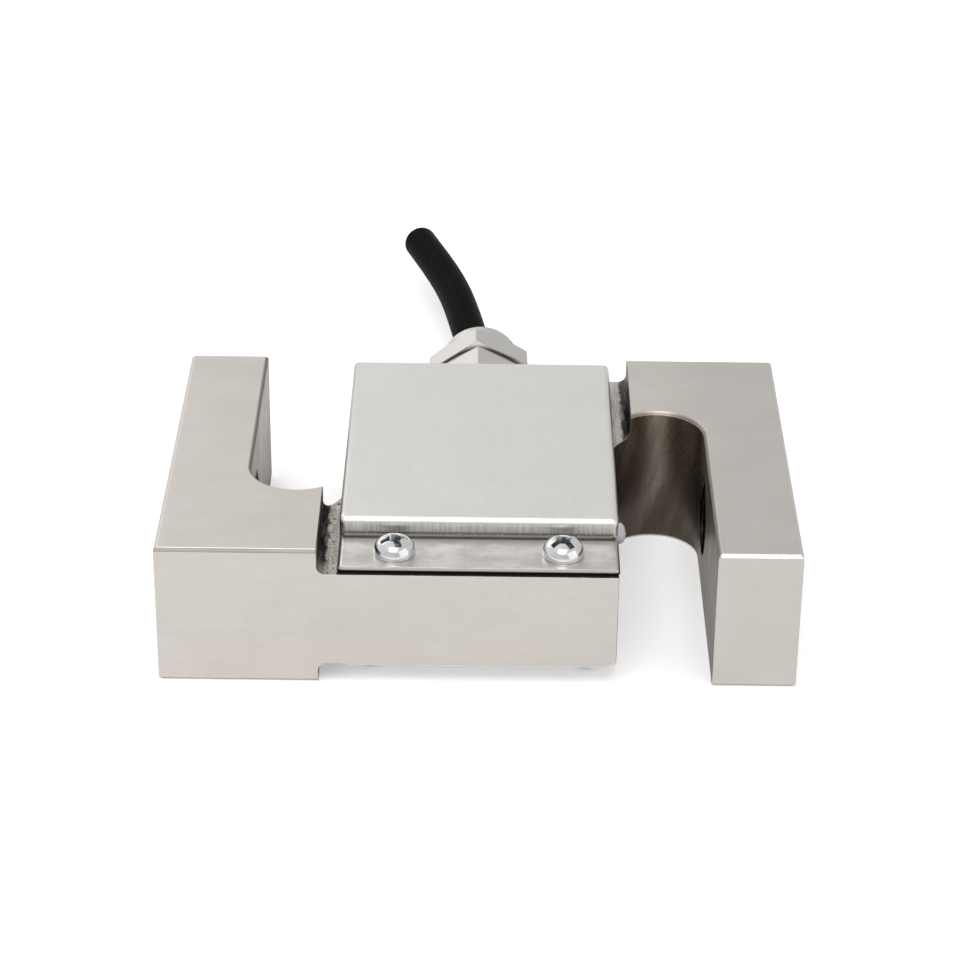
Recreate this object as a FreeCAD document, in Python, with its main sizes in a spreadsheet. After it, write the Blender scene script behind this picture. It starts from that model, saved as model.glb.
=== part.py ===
"""S type load cell, lying on its side.

Frame, in millimetres: X runs along the pull axis from arm to arm, Y from the screwed edge of the
cover to the cable gland, and Z up. The origin is the middle of the underside of the steel block.
"""

import FreeCAD, Part
import math
import os

import Sketcher

Vector = FreeCAD.Vector

# Driving dimensions: name, millimetres (or degrees, where the note says so), what it is
DIMENSIONS = [
    ("block_length", 76.2, "steel block along X, over both arms"),
    ("block_depth", 50.8, "steel block along Y"),
    ("block_height", 18.2, "steel block along Z"),
    ("arm_thickness", 10.05, "each arm along X"),
    ("slot_width", 11.5, "slot between an arm and the middle section"),
    ("bridge_depth", 14.9, "steel left beyond the closed end of a slot"),
    ("recess_margin", 2.5, "recesses for the covers past the middle section's sides, along X"),
    ("top_recess_depth", 3.3, "recess in the top face"),
    ("bottom_recess_depth", 2.6, "recess in the underside"),
    ("bottom_recess_side", 1.3, "that recess past the middle section's right side, along X"),
    ("recess_fillet", 1.1, "round between a recess wall and its floor"),
    ("edge_break", 0.4, "chamfer round the top and bottom faces"),
    ("corner_round", 1.8, "rounded lower edge of the middle section beside an open slot"),
    ("load_bore_diameter", 10.0, "M10 load threads, plain at their nominal size as all threads here"),
    ("load_bore_chamfer", 0.5, "chamfer at the mouth of a load bore"),
    ("web_thickness", 2.0, "shear web between the two gauge pockets"),
    ("pocket_diameter", 18.0, "round gauge pockets above and below the web"),
    ("lead_hole_diameter", 2.6, "hole in the web for the lower gauges' leads"),
    ("lead_hole_inset", 2.0, "middle of that hole in from the pocket wall"),
    ("gland_hole_diameter", 8.0, "M8 gland thread in the back face"),
    ("gland_hole_gap", 1.2, "that bore short of the wire well"),
    ("duct_diameter", 5.4, "cable duct from the gland bore to the wire well"),
    ("well_diameter", 6.0, "wire well from the top recess down to the duct"),
    ("well_sump", 0.4, "wire well below the duct"),
    ("well_gap", 1.2, "steel between the upper gauge pocket and the wire well"),
    ("sheet_thickness", 0.8, "stainless sheet of both covers"),
    ("bend_radius", 0.3, "inner bend radius of the top cover"),
    ("cover_overhang", 0.15, "both covers past the middle section's sides, along X"),
    ("cover_setback", 0.6, "top cover's edges in from the front and back faces"),
    ("cover_height", 3.15, "top cover's plate above the floor of its recess"),
    ("flange_depth", 7.5, "screwed flange of the top cover along Y"),
    ("cover_corner", 0.7, "rounded corners of the top cover"),
    ("bottom_cover_setback", 1.0, "bottom cover's edges in from the front and back faces"),
    ("bottom_cover_corner", 1.5, "rounded corners of the bottom cover"),
    ("top_screw_side", 6.7, "top cover screws in from the cover's sides"),
    ("top_screw_inset", 4.1, "top cover screws in from the front face"),
    ("top_screw_head_diameter", 5.0, "M2.5 pan head"),
    ("top_screw_head_height", 2.0, "M2.5 pan head"),
    ("top_screw_thread", 2.5, "M2.5 thread"),
    ("top_screw_length", 5.0, "M2.5 screw below its head"),
    ("top_screw_recess", 3.5, "cross recess of the M2.5 screws, over its arms"),
    ("bottom_screw_side", 3.7, "bottom cover screws in from the cover's sides"),
    ("bottom_screw_inset", 4.0, "bottom cover screws in from the front and back faces"),
    ("bottom_screw_head_diameter", 4.0, "M2 pan head"),
    ("bottom_screw_head_height", 1.4, "M2 pan head"),
    ("bottom_screw_thread", 2.0, "M2 thread"),
    ("bottom_screw_length", 4.0, "M2 screw below its head"),
    ("bottom_screw_recess", 2.0, "cross recess of the M2 screws, over its arms"),
    ("recess_slot", 0.55, "width of an arm of a cross recess"),
    ("screw_hole_play", 0.25, "cover hole larger than the screw's thread, radially"),
    ("tapping_allowance", 0.6, "depth of a tapped hole beyond the screw's end"),
    ("fit_clearance", 0.02, "radial play of pieces that screw or push together"),
    ("gland_offset", -0.15, "gland axis from the block's middle along X"),
    ("washer_thickness", 1.0, "gland washer"),
    ("washer_diameter", 12.0, "gland washer"),
    ("hex_flats", 13.2, "both hexagons of the gland, across flats"),
    ("body_hex_length", 5.9, "hexagon of the gland body"),
    ("body_hex_turn", -2.5, "turn of that hexagon, degrees"),
    ("gland_gap", 0.8, "thread that shows between body and cap nut"),
    ("nut_hex_length", 4.5, "hexagon of the cap nut"),
    ("nut_hex_turn", -5.0, "turn of that hexagon, degrees"),
    ("dome_diameter", 10.7, "round end of the cap nut"),
    ("dome_length", 6.3, "round end of the cap nut beyond its hexagon"),
    ("dome_round", 1.95, "rounded rim of the dome"),
    ("mouth_diameter", 6.4, "mouth of the cap nut"),
    ("collar_diameter", 9.0, "threaded collar of the gland body"),
    ("collar_length", 5.7, "threaded collar beyond the body's hexagon"),
    ("gland_bore", 5.1, "cable bore of the gland body"),
    ("seal_diameter", 7.2, "rubber seal"),
    ("seal_length", 4.1, "rubber seal"),
    ("clamp_ring_thickness", 1.0, "clamp ring between the seal and the cap nut"),
    ("clamp_ring_gap", 0.1, "clamp ring beyond the end of the collar"),
    ("cable_diameter", 4.8, "cable jacket"),
    ("jacket_wall", 0.6, "wall of the cable jacket"),
    ("shield_thickness", 0.15, "braided shield under the jacket"),
    ("core_diameter", 1.3, "each of the four insulated cores"),
    ("core_spacing", 1.36, "cores, middle to middle"),
    ("cable_tail", 0.5, "jacket beyond the gland bore, inside the duct"),
    ("core_bend", 1.1, "bend radius of the cores at the terminal board"),
    ("core_reach", 7.5, "end of each core on the board from the board's middle"),
    ("core_rise_spacing", 1.8, "rising upper and lower cores, middle to middle"),
    ("board_length", 20.0, "terminal board along X"),
    ("board_depth", 8.6, "terminal board along Y"),
    ("board_thickness", 0.8, "terminal board"),
    ("resistor_length", 3.2, "trim resistors on the board"),
    ("resistor_width", 1.4, "trim resistors on the board"),
    ("resistor_height", 0.6, "trim resistors on the board"),
    ("resistor_spacing", 10.0, "trim resistors, middle to middle"),
    ("resistor_inset", 0.2, "trim resistors in from the board's back edge"),
    ("gauge_length", 7.0, "foil strain gauge along Y"),
    ("gauge_width", 4.2, "foil strain gauge along X"),
    ("gauge_thickness", 0.1, "foil strain gauge with its carrier"),
    ("gauge_spacing", 6.4, "the two gauges of one side, middle to middle"),
    ("lead_diameter", 0.3, "gauge leads"),
    ("lead_spacing", 1.6, "the two leads of one gauge, middle to middle"),
    ("lead_bend", 0.5, "bend radius of the gauge leads"),
    ("lead_hole_spacing", 0.65, "the four lower leads in the web's hole, middle to middle"),
    ("lead_overlap", 1.0, "leads run this far onto their gauge and the board"),
    ("potting_inset", 1.2, "potting in from the cover's sides"),
    ("potting_play", 0.4, "potting short of the cover's bends"),
]

# Shares of a screw head's height: its rounded crown, and the depth of its cross recess
CROWN_SHARE = 0.6
CROSS_SHARE = 0.6

# Corners turned off a hexagon: degrees from its end face, and how far out as a share of its flats
HEX_CORNER_ANGLE = 30
HEX_CORNER_REACH = 0.6

# Middle line of the free cable beyond the clamp ring: distance along Y, shift along X, and sag
CABLE_ROUTE = [
    (0.0, 0.0, 0.0),
    (3.0, 0.0, 0.0),
    (9.4, -1.25, 0.05),
    (17.9, -2.45, 0.25),
    (26.9, -3.95, 0.6),
    (36.4, -6.35, 1.05),
    (46.4, -9.4, 1.6),
]


class Size:
    """A number together with the sheet formula that it comes from."""

    def __init__(self, number, text):
        self.number = number
        self.text = text

    def _join(self, other, sign, number):
        text = other.text if isinstance(other, Size) else repr(other)
        return Size(number, f"({self.text} {sign} {text})")

    def __add__(self, other):
        return self._join(other, "+", self.number + number_of(other))

    def __sub__(self, other):
        return self._join(other, "-", self.number - number_of(other))

    def __mul__(self, other):
        return self._join(other, "*", self.number * number_of(other))

    def __truediv__(self, other):
        return self._join(other, "/", self.number / number_of(other))

    def __neg__(self):
        return Size(-self.number, f"(-1 * {self.text})")


def number_of(size):
    """The plain number of a Size, or a number as it is."""
    return size.number if isinstance(size, Size) else float(size)


def text_of(size):
    """The formula of a Size, or a number as text."""
    return size.text if isinstance(size, Size) else repr(float(size))


def make_sheet(document):
    """The sheet of driving dimensions, and each of them as a Size by its name."""
    sheet = document.addObject("Spreadsheet::Sheet", "sizes")
    for row, (name, number, note) in enumerate(DIMENSIONS, start=1):
        sheet.set(f"A{row}", name)
        sheet.set(f"B{row}", str(number))
        sheet.set(f"C{row}", note)
        sheet.setAlias(f"B{row}", name)
    document.recompute()
    return {name: Size(float(sheet.get(name)), f"sizes.{name}") for name, _, _ in DIMENSIONS}


# Helpers for features

def tie(feature, **sizes):
    """Bind properties of a feature, written with __ for a dot, to their sizes."""
    for name, size in sizes.items():
        feature.setExpression(name.replace("__", "."), text_of(size))


def place(item, x=0.0, y=0.0, z=0.0):
    """Bind the place of an object to its sizes."""
    tie(item, Placement__Base__x=x, Placement__Base__y=y, Placement__Base__z=z)


def turn_outwards(item):
    """Turn an object so that its own Z points along +Y, out of the back face."""
    item.Placement.Rotation = FreeCAD.Rotation(Vector(1, 0, 0), -90)


def new_body(label):
    """An empty body for one piece."""
    body = doc.addObject("PartDesign::Body", label)
    body.Label = label
    return body


def origin_item(body, role):
    """A plane or axis of the body's own origin."""
    return next(item for item in body.Origin.OriginFeatures if item.Role == role)


def new_sketch(body, name, plane, height=0.0):
    """A sketch on one of the body's planes, moved along the plane's normal by height."""
    sketch = body.newObject("Sketcher::SketchObject", name)
    sketch.AttachmentSupport = [(origin_item(body, plane), "")]
    sketch.MapMode = "FlatFace"
    tie(sketch, AttachmentOffset__Base__z=height)
    return sketch


def pin_point(sketch, line, point, x, y):
    """Fix a point of a sketch at x and y from its origin."""
    for kind, size in (("DistanceX", x), ("DistanceY", y)):
        index = sketch.addConstraint(Sketcher.Constraint(kind, -1, 1, line, point, number_of(size)))
        sketch.setExpression(f"Constraints[{index}]", text_of(size))


def add_outline(sketch, corners):
    """A closed outline of straight lines through the corners."""
    first = sketch.GeometryCount
    count = len(corners)
    for index, (x, y) in enumerate(corners):
        next_x, next_y = corners[(index + 1) % count]
        start = Vector(number_of(x), number_of(y), 0)
        end = Vector(number_of(next_x), number_of(next_y), 0)
        sketch.addGeometry(Part.LineSegment(start, end), False)
    for index in range(count):
        following = first + (index + 1) % count
        sketch.addConstraint(Sketcher.Constraint("Coincident", first + index, 2, following, 1))
    for index, (x, y) in enumerate(corners):
        pin_point(sketch, first + index, 1, x, y)


def add_box(sketch, low_x, low_y, high_x, high_y):
    """A rectangle between two opposite corners."""
    add_outline(sketch, [(low_x, low_y), (high_x, low_y), (high_x, high_y), (low_x, high_y)])


def add_circle(sketch, x, y, diameter):
    """A circle with its middle at x and y."""
    centre = Vector(number_of(x), number_of(y), 0)
    radius = number_of(diameter) / 2
    index = sketch.addGeometry(Part.Circle(centre, Vector(0, 0, 1), radius), False)
    pin_point(sketch, index, 3, x, y)
    ring = sketch.addConstraint(Sketcher.Constraint("Diameter", index, 2 * radius))
    sketch.setExpression(f"Constraints[{ring}]", text_of(diameter))


def add_rounding(sketch, x, y, radius):
    """The bit that a quarter round leaves outside it at a lower right corner at x and y."""
    corners = [(x - radius, y), (x, y), (x, y + radius)]
    low, corner, high = (Vector(number_of(across), number_of(up), 0) for across, up in corners)
    below = sketch.addGeometry(Part.LineSegment(low, corner), False)
    beside = sketch.addGeometry(Part.LineSegment(corner, high), False)
    circle = Part.Circle(Vector(low.x, high.y, 0), Vector(0, 0, 1), number_of(radius))
    arc = sketch.addGeometry(Part.ArcOfCircle(circle, -math.pi / 2, 0), False)
    for line, end, following, start in ((below, 2, beside, 1), (beside, 2, arc, 2), (arc, 1, below, 1)):
        sketch.addConstraint(Sketcher.Constraint("Coincident", line, end, following, start))
    for line, end, (across, up) in ((below, 1, corners[0]), (below, 2, corners[1]), (beside, 2, corners[2])):
        pin_point(sketch, line, end, across, up)
    bend = sketch.addConstraint(Sketcher.Constraint("Radius", arc, number_of(radius)))
    sketch.setExpression(f"Constraints[{bend}]", text_of(radius))


def add_hexagon(sketch, across_flats, turn):
    """A hexagon about the origin, one corner up (along -Y of the sketch), turned by some degrees."""
    reach = across_flats / math.sqrt(3)
    corners = []
    for step in range(6):
        angle = turn + (60 * step - 90)
        radians = math.radians(angle.number)
        x = Size(reach.number * math.cos(radians), f"({reach.text} * cos({angle.text} * 1deg))")
        y = Size(reach.number * math.sin(radians), f"({reach.text} * sin({angle.text} * 1deg))")
        corners.append((x, y))
    add_outline(sketch, corners)


def pad(body, sketch, length, symmetric=False):
    """Add the sketch's outline as a prism along the plane's normal."""
    feature = body.newObject("PartDesign::Pad", f"{sketch.Name}_pad")
    feature.Profile = sketch
    feature.SideType = "Symmetric" if symmetric else "One side"
    tie(feature, Length=length)
    doc.recompute()
    return feature


def pocket(body, sketch, length=None, forward=False, symmetric=False):
    """Cut the sketch's outline, against the plane's normal unless forward, through all by default."""
    before = body.Shape.Volume
    feature = body.newObject("PartDesign::Pocket", f"{sketch.Name}_pocket")
    feature.Profile = sketch
    feature.Reversed = forward
    feature.SideType = "Symmetric" if symmetric else "One side"
    if length is None:
        feature.Type = "ThroughAll"
    else:
        tie(feature, Length=length)
    doc.recompute()
    if not body.Shape.Volume < before - 1e-6:
        raise RuntimeError(f"{feature.Name} cuts nothing out of {body.Label}")
    return feature


def repeat_on_other_arm(body, name, cuts):
    """Repeat cuts half a turn round the upright axis."""
    feature = body.newObject("PartDesign::PolarPattern", name)
    feature.Originals = cuts
    feature.Axis = (origin_item(body, "Z_Axis"), [""])
    feature.Angle = 360
    feature.Occurrences = 2
    body.Tip = feature
    doc.recompute()


def edges_where(shape, test):
    """Names of the edges that pass a test of their direction (None if curved) and middle."""
    names = []
    for index, edge in enumerate(shape.Edges, start=1):
        straight = isinstance(edge.Curve, Part.Line)
        direction = edge.Curve.Direction if straight else None
        if test(edge, direction, edge.BoundBox.Center):
            names.append(f"Edge{index}")
    return names


def faces_where(shape, test):
    """Names of the flat faces that pass a test of their normal and middle."""
    names = []
    for index, face in enumerate(shape.Faces, start=1):
        flat = isinstance(face.Surface, Part.Plane)
        if flat and test(face.normalAt(0, 0), face.CenterOfMass):
            names.append(f"Face{index}")
    return names


def near(first, second):
    """Whether two lengths are the same to a thousandth."""
    return abs(number_of(first) - number_of(second)) < 1e-3


def dress(body, kind, name, size, names):
    """Fillet or Chamfer the named edges or faces of the body's last feature."""
    if not names:
        raise RuntimeError(f"{name} finds no edge on {body.Label}")
    last = body.Tip
    feature = body.newObject(f"PartDesign::{kind}", name)
    feature.Base = (last, names)
    tie(feature, **{"Radius" if kind == "Fillet" else "Size": size})
    doc.recompute()
    return feature


def blank_box(name, low, high):
    """A box between two corners whose coordinates are sizes."""
    box = doc.addObject("Part::Box", name)
    tie(box, Length=high[0] - low[0], Width=high[1] - low[1], Height=high[2] - low[2])
    place(box, *low)
    return box


def blank_cylinder(name, diameter, height, x, y, z):
    """An upright cylinder on the point x, y, z."""
    cylinder = doc.addObject("Part::Cylinder", name)
    tie(cylinder, Radius=diameter / 2, Height=height)
    place(cylinder, x, y, z)
    return cylinder


# Helpers for wires and cables

def route_turns(points, radii):
    """Straight runs and tangent turns along a route: (start, end) and (start, centre, axis, degrees)."""
    pieces = []
    start = points[0]
    for index in range(1, len(points) - 1):
        corner = points[index]
        towards = (corner - points[index - 1]).normalize()
        away = (points[index + 1] - corner).normalize()
        angle = math.acos(max(-1.0, min(1.0, towards.dot(away))))
        tangent = radii[index - 1] * math.tan(angle / 2)
        turn_start = corner - towards * tangent
        axis = towards.cross(away).normalize()
        centre = turn_start + axis.cross(towards).normalize() * radii[index - 1]
        pieces.append(("run", start, turn_start))
        pieces.append(("turn", turn_start, centre, axis, math.degrees(angle)))
        start = corner + away * tangent
    pieces.append(("run", start, points[-1]))
    return pieces


def round_face(at, direction, diameter, bore=0.0):
    """A disc, or a ring where there is a bore, across a route."""
    outer = Part.Face(Part.Wire(Part.makeCircle(diameter / 2, at, direction)))
    if not bore:
        return outer
    return outer.cut(Part.Face(Part.Wire(Part.makeCircle(bore / 2, at, direction)))).Faces[0]


def make_tube(points, radii, diameter, bore=0.0):
    """A round tube along a route of straight runs joined by tangent turns."""
    solids = []
    direction = (points[1] - points[0]).normalize()
    for piece in route_turns(points, radii):
        face = round_face(piece[1], direction, diameter, bore)
        if piece[0] == "run":
            solids.append(face.extrude(piece[2] - piece[1]))
            continue
        _, _, centre, axis, degrees = piece
        solids.append(face.revolve(centre, axis, degrees))
        direction = FreeCAD.Rotation(axis, degrees).multVec(direction)
    return solids[0].fuse(solids[1:])


def add_computed(label, shape):
    """A piece whose shape is worked out above, such as a cable."""
    feature = doc.addObject("Part::Feature", label)
    feature.Label = label
    feature.Shape = shape
    return feature


doc = FreeCAD.newDocument("s_type_load_cell")
size = make_sheet(doc)
pieces = []

# Places that more than one piece uses
half_length = size["block_length"] / 2
half_depth = size["block_depth"] / 2
axis_height = size["block_height"] / 2
arm_inner = half_length - size["arm_thickness"]
middle_half = arm_inner - size["slot_width"]
slot_middle = arm_inner - size["slot_width"] / 2
slot_end = half_depth - size["bridge_depth"]
slot_round_centre = slot_end - size["slot_width"] / 2
recess_half = middle_half + size["recess_margin"]
under_right = middle_half + size["bottom_recess_side"]
cover_half = middle_half + size["cover_overhang"]
top_floor = size["block_height"] - size["top_recess_depth"]
bottom_floor = size["bottom_recess_depth"]
web_middle = (top_floor + bottom_floor) / 2
web_top = web_middle + size["web_thickness"] / 2
web_bottom = web_middle - size["web_thickness"] / 2
well_y = size["pocket_diameter"] / 2 + size["well_gap"] + size["well_diameter"] / 2
well_floor = axis_height - size["duct_diameter"] / 2 - size["well_sump"]
gland_hole_depth = half_depth - well_y - size["well_diameter"] / 2 - size["gland_hole_gap"]
lead_hole_y = size["pocket_diameter"] / 2 - size["lead_hole_inset"]
plate_top = top_floor + size["cover_height"]
plate_bottom = plate_top - size["sheet_thickness"]
flange_top = top_floor + size["sheet_thickness"]
board_top = top_floor + size["board_thickness"]
top_screw_x = cover_half - size["top_screw_side"]
top_screw_y = size["top_screw_inset"] - half_depth
bottom_screw_x = cover_half - size["bottom_screw_side"]
bottom_screw_y = half_depth - size["bottom_screw_inset"]


def make_spring_element():
    """The steel block: slots, load bores, recesses, gauge pockets, cable duct and tapped holes."""
    body = new_body("spring_element")
    outline = new_sketch(body, "block_outline", "XY_Plane")
    add_box(outline, -half_length, -half_depth, half_length, half_depth)
    pad(body, outline, size["block_height"])

    # One slot, open at the front, with a fully round closed end, and one load bore
    overrun = size["slot_width"]
    slot = new_sketch(body, "slot_side", "XY_Plane")
    add_box(slot, middle_half, -half_depth - overrun, arm_inner, slot_round_centre)
    slot_cut = pocket(body, slot, forward=True)
    rounding = new_sketch(body, "slot_round", "XY_Plane")
    add_circle(rounding, slot_middle, slot_round_centre, size["slot_width"])
    round_cut = pocket(body, rounding, forward=True)
    bore = new_sketch(body, "load_bore", "YZ_Plane", half_length)
    add_circle(bore, 0.0, axis_height, size["load_bore_diameter"])
    bore_cut = pocket(body, bore, size["arm_thickness"] + size["slot_width"] / 2)
    repeat_on_other_arm(body, "second_arm", [slot_cut, round_cut, bore_cut])

    flats = faces_where(body.Shape, lambda normal, middle: abs(normal.z) > 0.999)
    dress(body, "Chamfer", "broken_edges", size["edge_break"], flats)

    def at_bore_mouth(edge, direction, middle):
        return direction is None and near(abs(middle.x), half_length)

    mouths = edges_where(body.Shape, at_bore_mouth)
    dress(body, "Chamfer", "bore_mouths", size["load_bore_chamfer"], mouths)

    # Recesses for the covers, right across the block
    above = size["block_height"] + size["top_recess_depth"]
    top = new_sketch(body, "top_recess", "XZ_Plane")
    add_box(top, -recess_half, top_floor, recess_half, above)
    pocket(body, top, size["block_depth"] * 2, symmetric=True)
    under = new_sketch(body, "bottom_recess", "XZ_Plane")
    add_box(under, -recess_half, -bottom_floor, under_right, bottom_floor)
    pocket(body, under, size["block_depth"] * 2, symmetric=True)

    def at_recess_corner(edge, direction, middle):
        along = direction is not None and abs(direction.y) > 0.999
        at_top = near(middle.z, top_floor) and near(abs(middle.x), recess_half)
        at_side = near(middle.x, -recess_half) or near(middle.x, under_right)
        return along and (at_top or near(middle.z, bottom_floor) and at_side)

    corners = edges_where(body.Shape, at_recess_corner)
    dress(body, "Fillet", "recess_corners", size["recess_fillet"], corners)

    lower_edge = new_sketch(body, "rounded_lower_edge", "XZ_Plane", half_depth)
    add_rounding(lower_edge, middle_half, bottom_floor, size["corner_round"])
    edge_cut = pocket(body, lower_edge, half_depth + slot_round_centre)
    repeat_on_other_arm(body, "second_lower_edge", [edge_cut])

    # Gauge pockets, with the shear web between them
    pocket_depth = top_floor - web_top
    upper = new_sketch(body, "upper_gauge_pocket", "XY_Plane", web_top)
    add_circle(upper, 0.0, 0.0, size["pocket_diameter"])
    pocket(body, upper, pocket_depth + size["top_recess_depth"], forward=True)
    lower = new_sketch(body, "lower_gauge_pocket", "XY_Plane", web_bottom)
    add_circle(lower, 0.0, 0.0, size["pocket_diameter"])
    pocket(body, lower)
    lead_hole = new_sketch(body, "lead_hole", "XY_Plane", web_top)
    add_circle(lead_hole, 0.0, lead_hole_y, size["lead_hole_diameter"])
    pocket(body, lead_hole)

    # Gland bore, cable duct and wire well
    gland_bore = new_sketch(body, "gland_bore", "XZ_Plane", -half_depth)
    add_circle(gland_bore, size["gland_offset"], axis_height, size["gland_hole_diameter"])
    pocket(body, gland_bore, gland_hole_depth, forward=True)
    duct = new_sketch(body, "cable_duct", "XZ_Plane", -half_depth)
    add_circle(duct, size["gland_offset"], axis_height, size["duct_diameter"])
    pocket(body, duct, half_depth - well_y, forward=True)
    well = new_sketch(body, "wire_well", "XY_Plane", well_floor)
    add_circle(well, size["gland_offset"], well_y, size["well_diameter"])
    pocket(body, well, size["block_height"], forward=True)

    # Tapped holes for the cover screws
    reach = size["top_screw_length"] - size["sheet_thickness"] + size["tapping_allowance"]
    holes = new_sketch(body, "top_screw_holes", "XY_Plane", top_floor - reach)
    for side in (-1, 1):
        add_circle(holes, top_screw_x * side, top_screw_y, size["top_screw_thread"])
    pocket(body, holes, reach + size["top_recess_depth"], forward=True)
    reach = size["bottom_screw_length"] - size["sheet_thickness"] + size["tapping_allowance"]
    holes = new_sketch(body, "bottom_screw_holes", "XY_Plane", bottom_floor + reach)
    for side in (-1, 1):
        for end in (-1, 1):
            add_circle(holes, bottom_screw_x * side, bottom_screw_y * end, size["bottom_screw_thread"])
    pocket(body, holes)
    return body


def make_top_cover():
    """Bent sheet: front flange on the recess floor, a step up, the plate and a lip down at the back."""
    body = new_body("top_cover")
    front = size["cover_setback"] - half_depth
    back = half_depth - size["cover_setback"]
    riser = front + size["flange_depth"]
    sheet = size["sheet_thickness"]
    outline = new_sketch(body, "cover_section", "YZ_Plane")
    add_outline(
        outline,
        [
            (front, top_floor),
            (riser + sheet, top_floor),
            (riser + sheet, plate_bottom),
            (back - sheet, plate_bottom),
            (back - sheet, top_floor),
            (back, top_floor),
            (back, plate_top),
            (riser, plate_top),
            (riser, flange_top),
            (front, flange_top),
        ],
    )
    pad(body, outline, cover_half * 2, symmetric=True)

    def bend_at(spots):
        def test(edge, direction, middle):
            along = direction is not None and abs(direction.x) > 0.999
            return along and any(near(middle.y, y) and near(middle.z, z) for y, z in spots)
        return test

    outer = [(riser + sheet, top_floor), (back, plate_top), (riser, plate_top)]
    inner = [(riser + sheet, plate_bottom), (back - sheet, plate_bottom), (riser, flange_top)]
    names = edges_where(body.Shape, bend_at(outer))
    dress(body, "Fillet", "outer_bends", size["bend_radius"] + sheet, names)
    names = edges_where(body.Shape, bend_at(inner))
    dress(body, "Fillet", "inner_bends", size["bend_radius"], names)

    def at_corner(edge, direction, middle):
        upright = direction is not None and abs(direction.z) > 0.999
        return upright and (near(middle.y, front) or near(middle.y, back))

    dress(body, "Fillet", "cover_corners", size["cover_corner"], edges_where(body.Shape, at_corner))
    holes = new_sketch(body, "flange_holes", "XY_Plane", flange_top)
    hole = size["top_screw_thread"] + size["screw_hole_play"] * 2
    for side in (-1, 1):
        add_circle(holes, top_screw_x * side, top_screw_y, hole)
    pocket(body, holes)
    return body


def make_bottom_cover():
    """Flat sheet on the floor of the underside recess."""
    body = new_body("bottom_cover")
    edge_y = half_depth - size["bottom_cover_setback"]
    outline = new_sketch(body, "bottom_cover_outline", "XY_Plane", bottom_floor - size["sheet_thickness"])
    add_box(outline, -cover_half, -edge_y, cover_half, edge_y)
    pad(body, outline, size["sheet_thickness"])

    def upright(edge, direction, middle):
        return direction is not None and abs(direction.z) > 0.999

    corners = edges_where(body.Shape, upright)
    dress(body, "Fillet", "bottom_cover_corners", size["bottom_cover_corner"], corners)
    holes = new_sketch(body, "bottom_cover_holes", "XY_Plane", bottom_floor)
    hole = size["bottom_screw_thread"] + size["screw_hole_play"] * 2
    for side in (-1, 1):
        for end in (-1, 1):
            add_circle(holes, bottom_screw_x * side, bottom_screw_y * end, hole)
    pocket(body, holes)
    return body


def make_screw(label, kind, x, y, z, turn, upside_down=False):
    """A pan head screw with a cross recess; z is where its head seats."""
    body = new_body(label)
    head_height = size[f"{kind}_head_height"]
    head = new_sketch(body, f"{label}_head", "XY_Plane")
    add_circle(head, 0.0, 0.0, size[f"{kind}_head_diameter"])
    pad(body, head, head_height)

    def at_crown(edge, direction, middle):
        return near(middle.z, head_height) and direction is None

    crown = edges_where(body.Shape, at_crown)
    dress(body, "Fillet", f"{label}_crown", head_height * CROWN_SHARE, crown)
    shank = new_sketch(body, f"{label}_shank", "XY_Plane", -size[f"{kind}_length"])
    add_circle(shank, 0.0, 0.0, size[f"{kind}_thread"] - size["fit_clearance"] * 2)
    pad(body, shank, size[f"{kind}_length"])
    reach = size[f"{kind}_recess"] / 2
    half = size["recess_slot"] / 2
    cross = new_sketch(body, f"{label}_cross", "XY_Plane", head_height)
    add_outline(
        cross,
        [
            (-half, -reach), (half, -reach), (half, -half), (reach, -half),
            (reach, half), (half, half), (half, reach), (-half, reach),
            (-half, half), (-reach, half), (-reach, -half), (-half, -half),
        ],
    )
    pocket(body, cross, head_height * CROSS_SHARE)
    flip = FreeCAD.Rotation(Vector(1, 0, 0), 180 if upside_down else 0)
    body.Placement.Rotation = flip.multiply(FreeCAD.Rotation(Vector(0, 0, 1), turn))
    place(body, x, y, z)
    return body


def make_top_screws():
    """The two screws of the top cover, which stopped at different turns."""
    screws = []
    for name, side, turn in (("left", -1, 20), ("right", 1, 38)):
        label = f"top_cover_screw_{name}"
        screws.append(make_screw(label, "top_screw", top_screw_x * side, top_screw_y, flange_top, turn))
    return screws


def make_bottom_screws():
    """The four screws of the bottom cover."""
    screws = []
    seat = bottom_floor - size["sheet_thickness"]
    turns = {("front", "left"): 12, ("front", "right"): 55, ("back", "left"): 31, ("back", "right"): 74}
    for (end, side), turn in turns.items():
        x = bottom_screw_x * (-1 if side == "left" else 1)
        y = bottom_screw_y * (-1 if end == "front" else 1)
        label = f"bottom_cover_screw_{end}_{side}"
        screws.append(make_screw(label, "bottom_screw", x, y, seat, turn, upside_down=True))
    return screws


# The gland's pieces are drawn along their own Z, which starts at the back face of the block
body_hex_start = size["washer_thickness"]
body_hex_end = body_hex_start + size["body_hex_length"]
collar_end = body_hex_end + size["collar_length"]
nut_start = body_hex_end + size["gland_gap"]
nut_hex_end = nut_start + size["nut_hex_length"]
nut_end = nut_hex_end + size["dome_length"]
ring_start = collar_end + size["clamp_ring_gap"]
ring_end = ring_start + size["clamp_ring_thickness"]
seal_start = ring_start - size["seal_length"]


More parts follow.
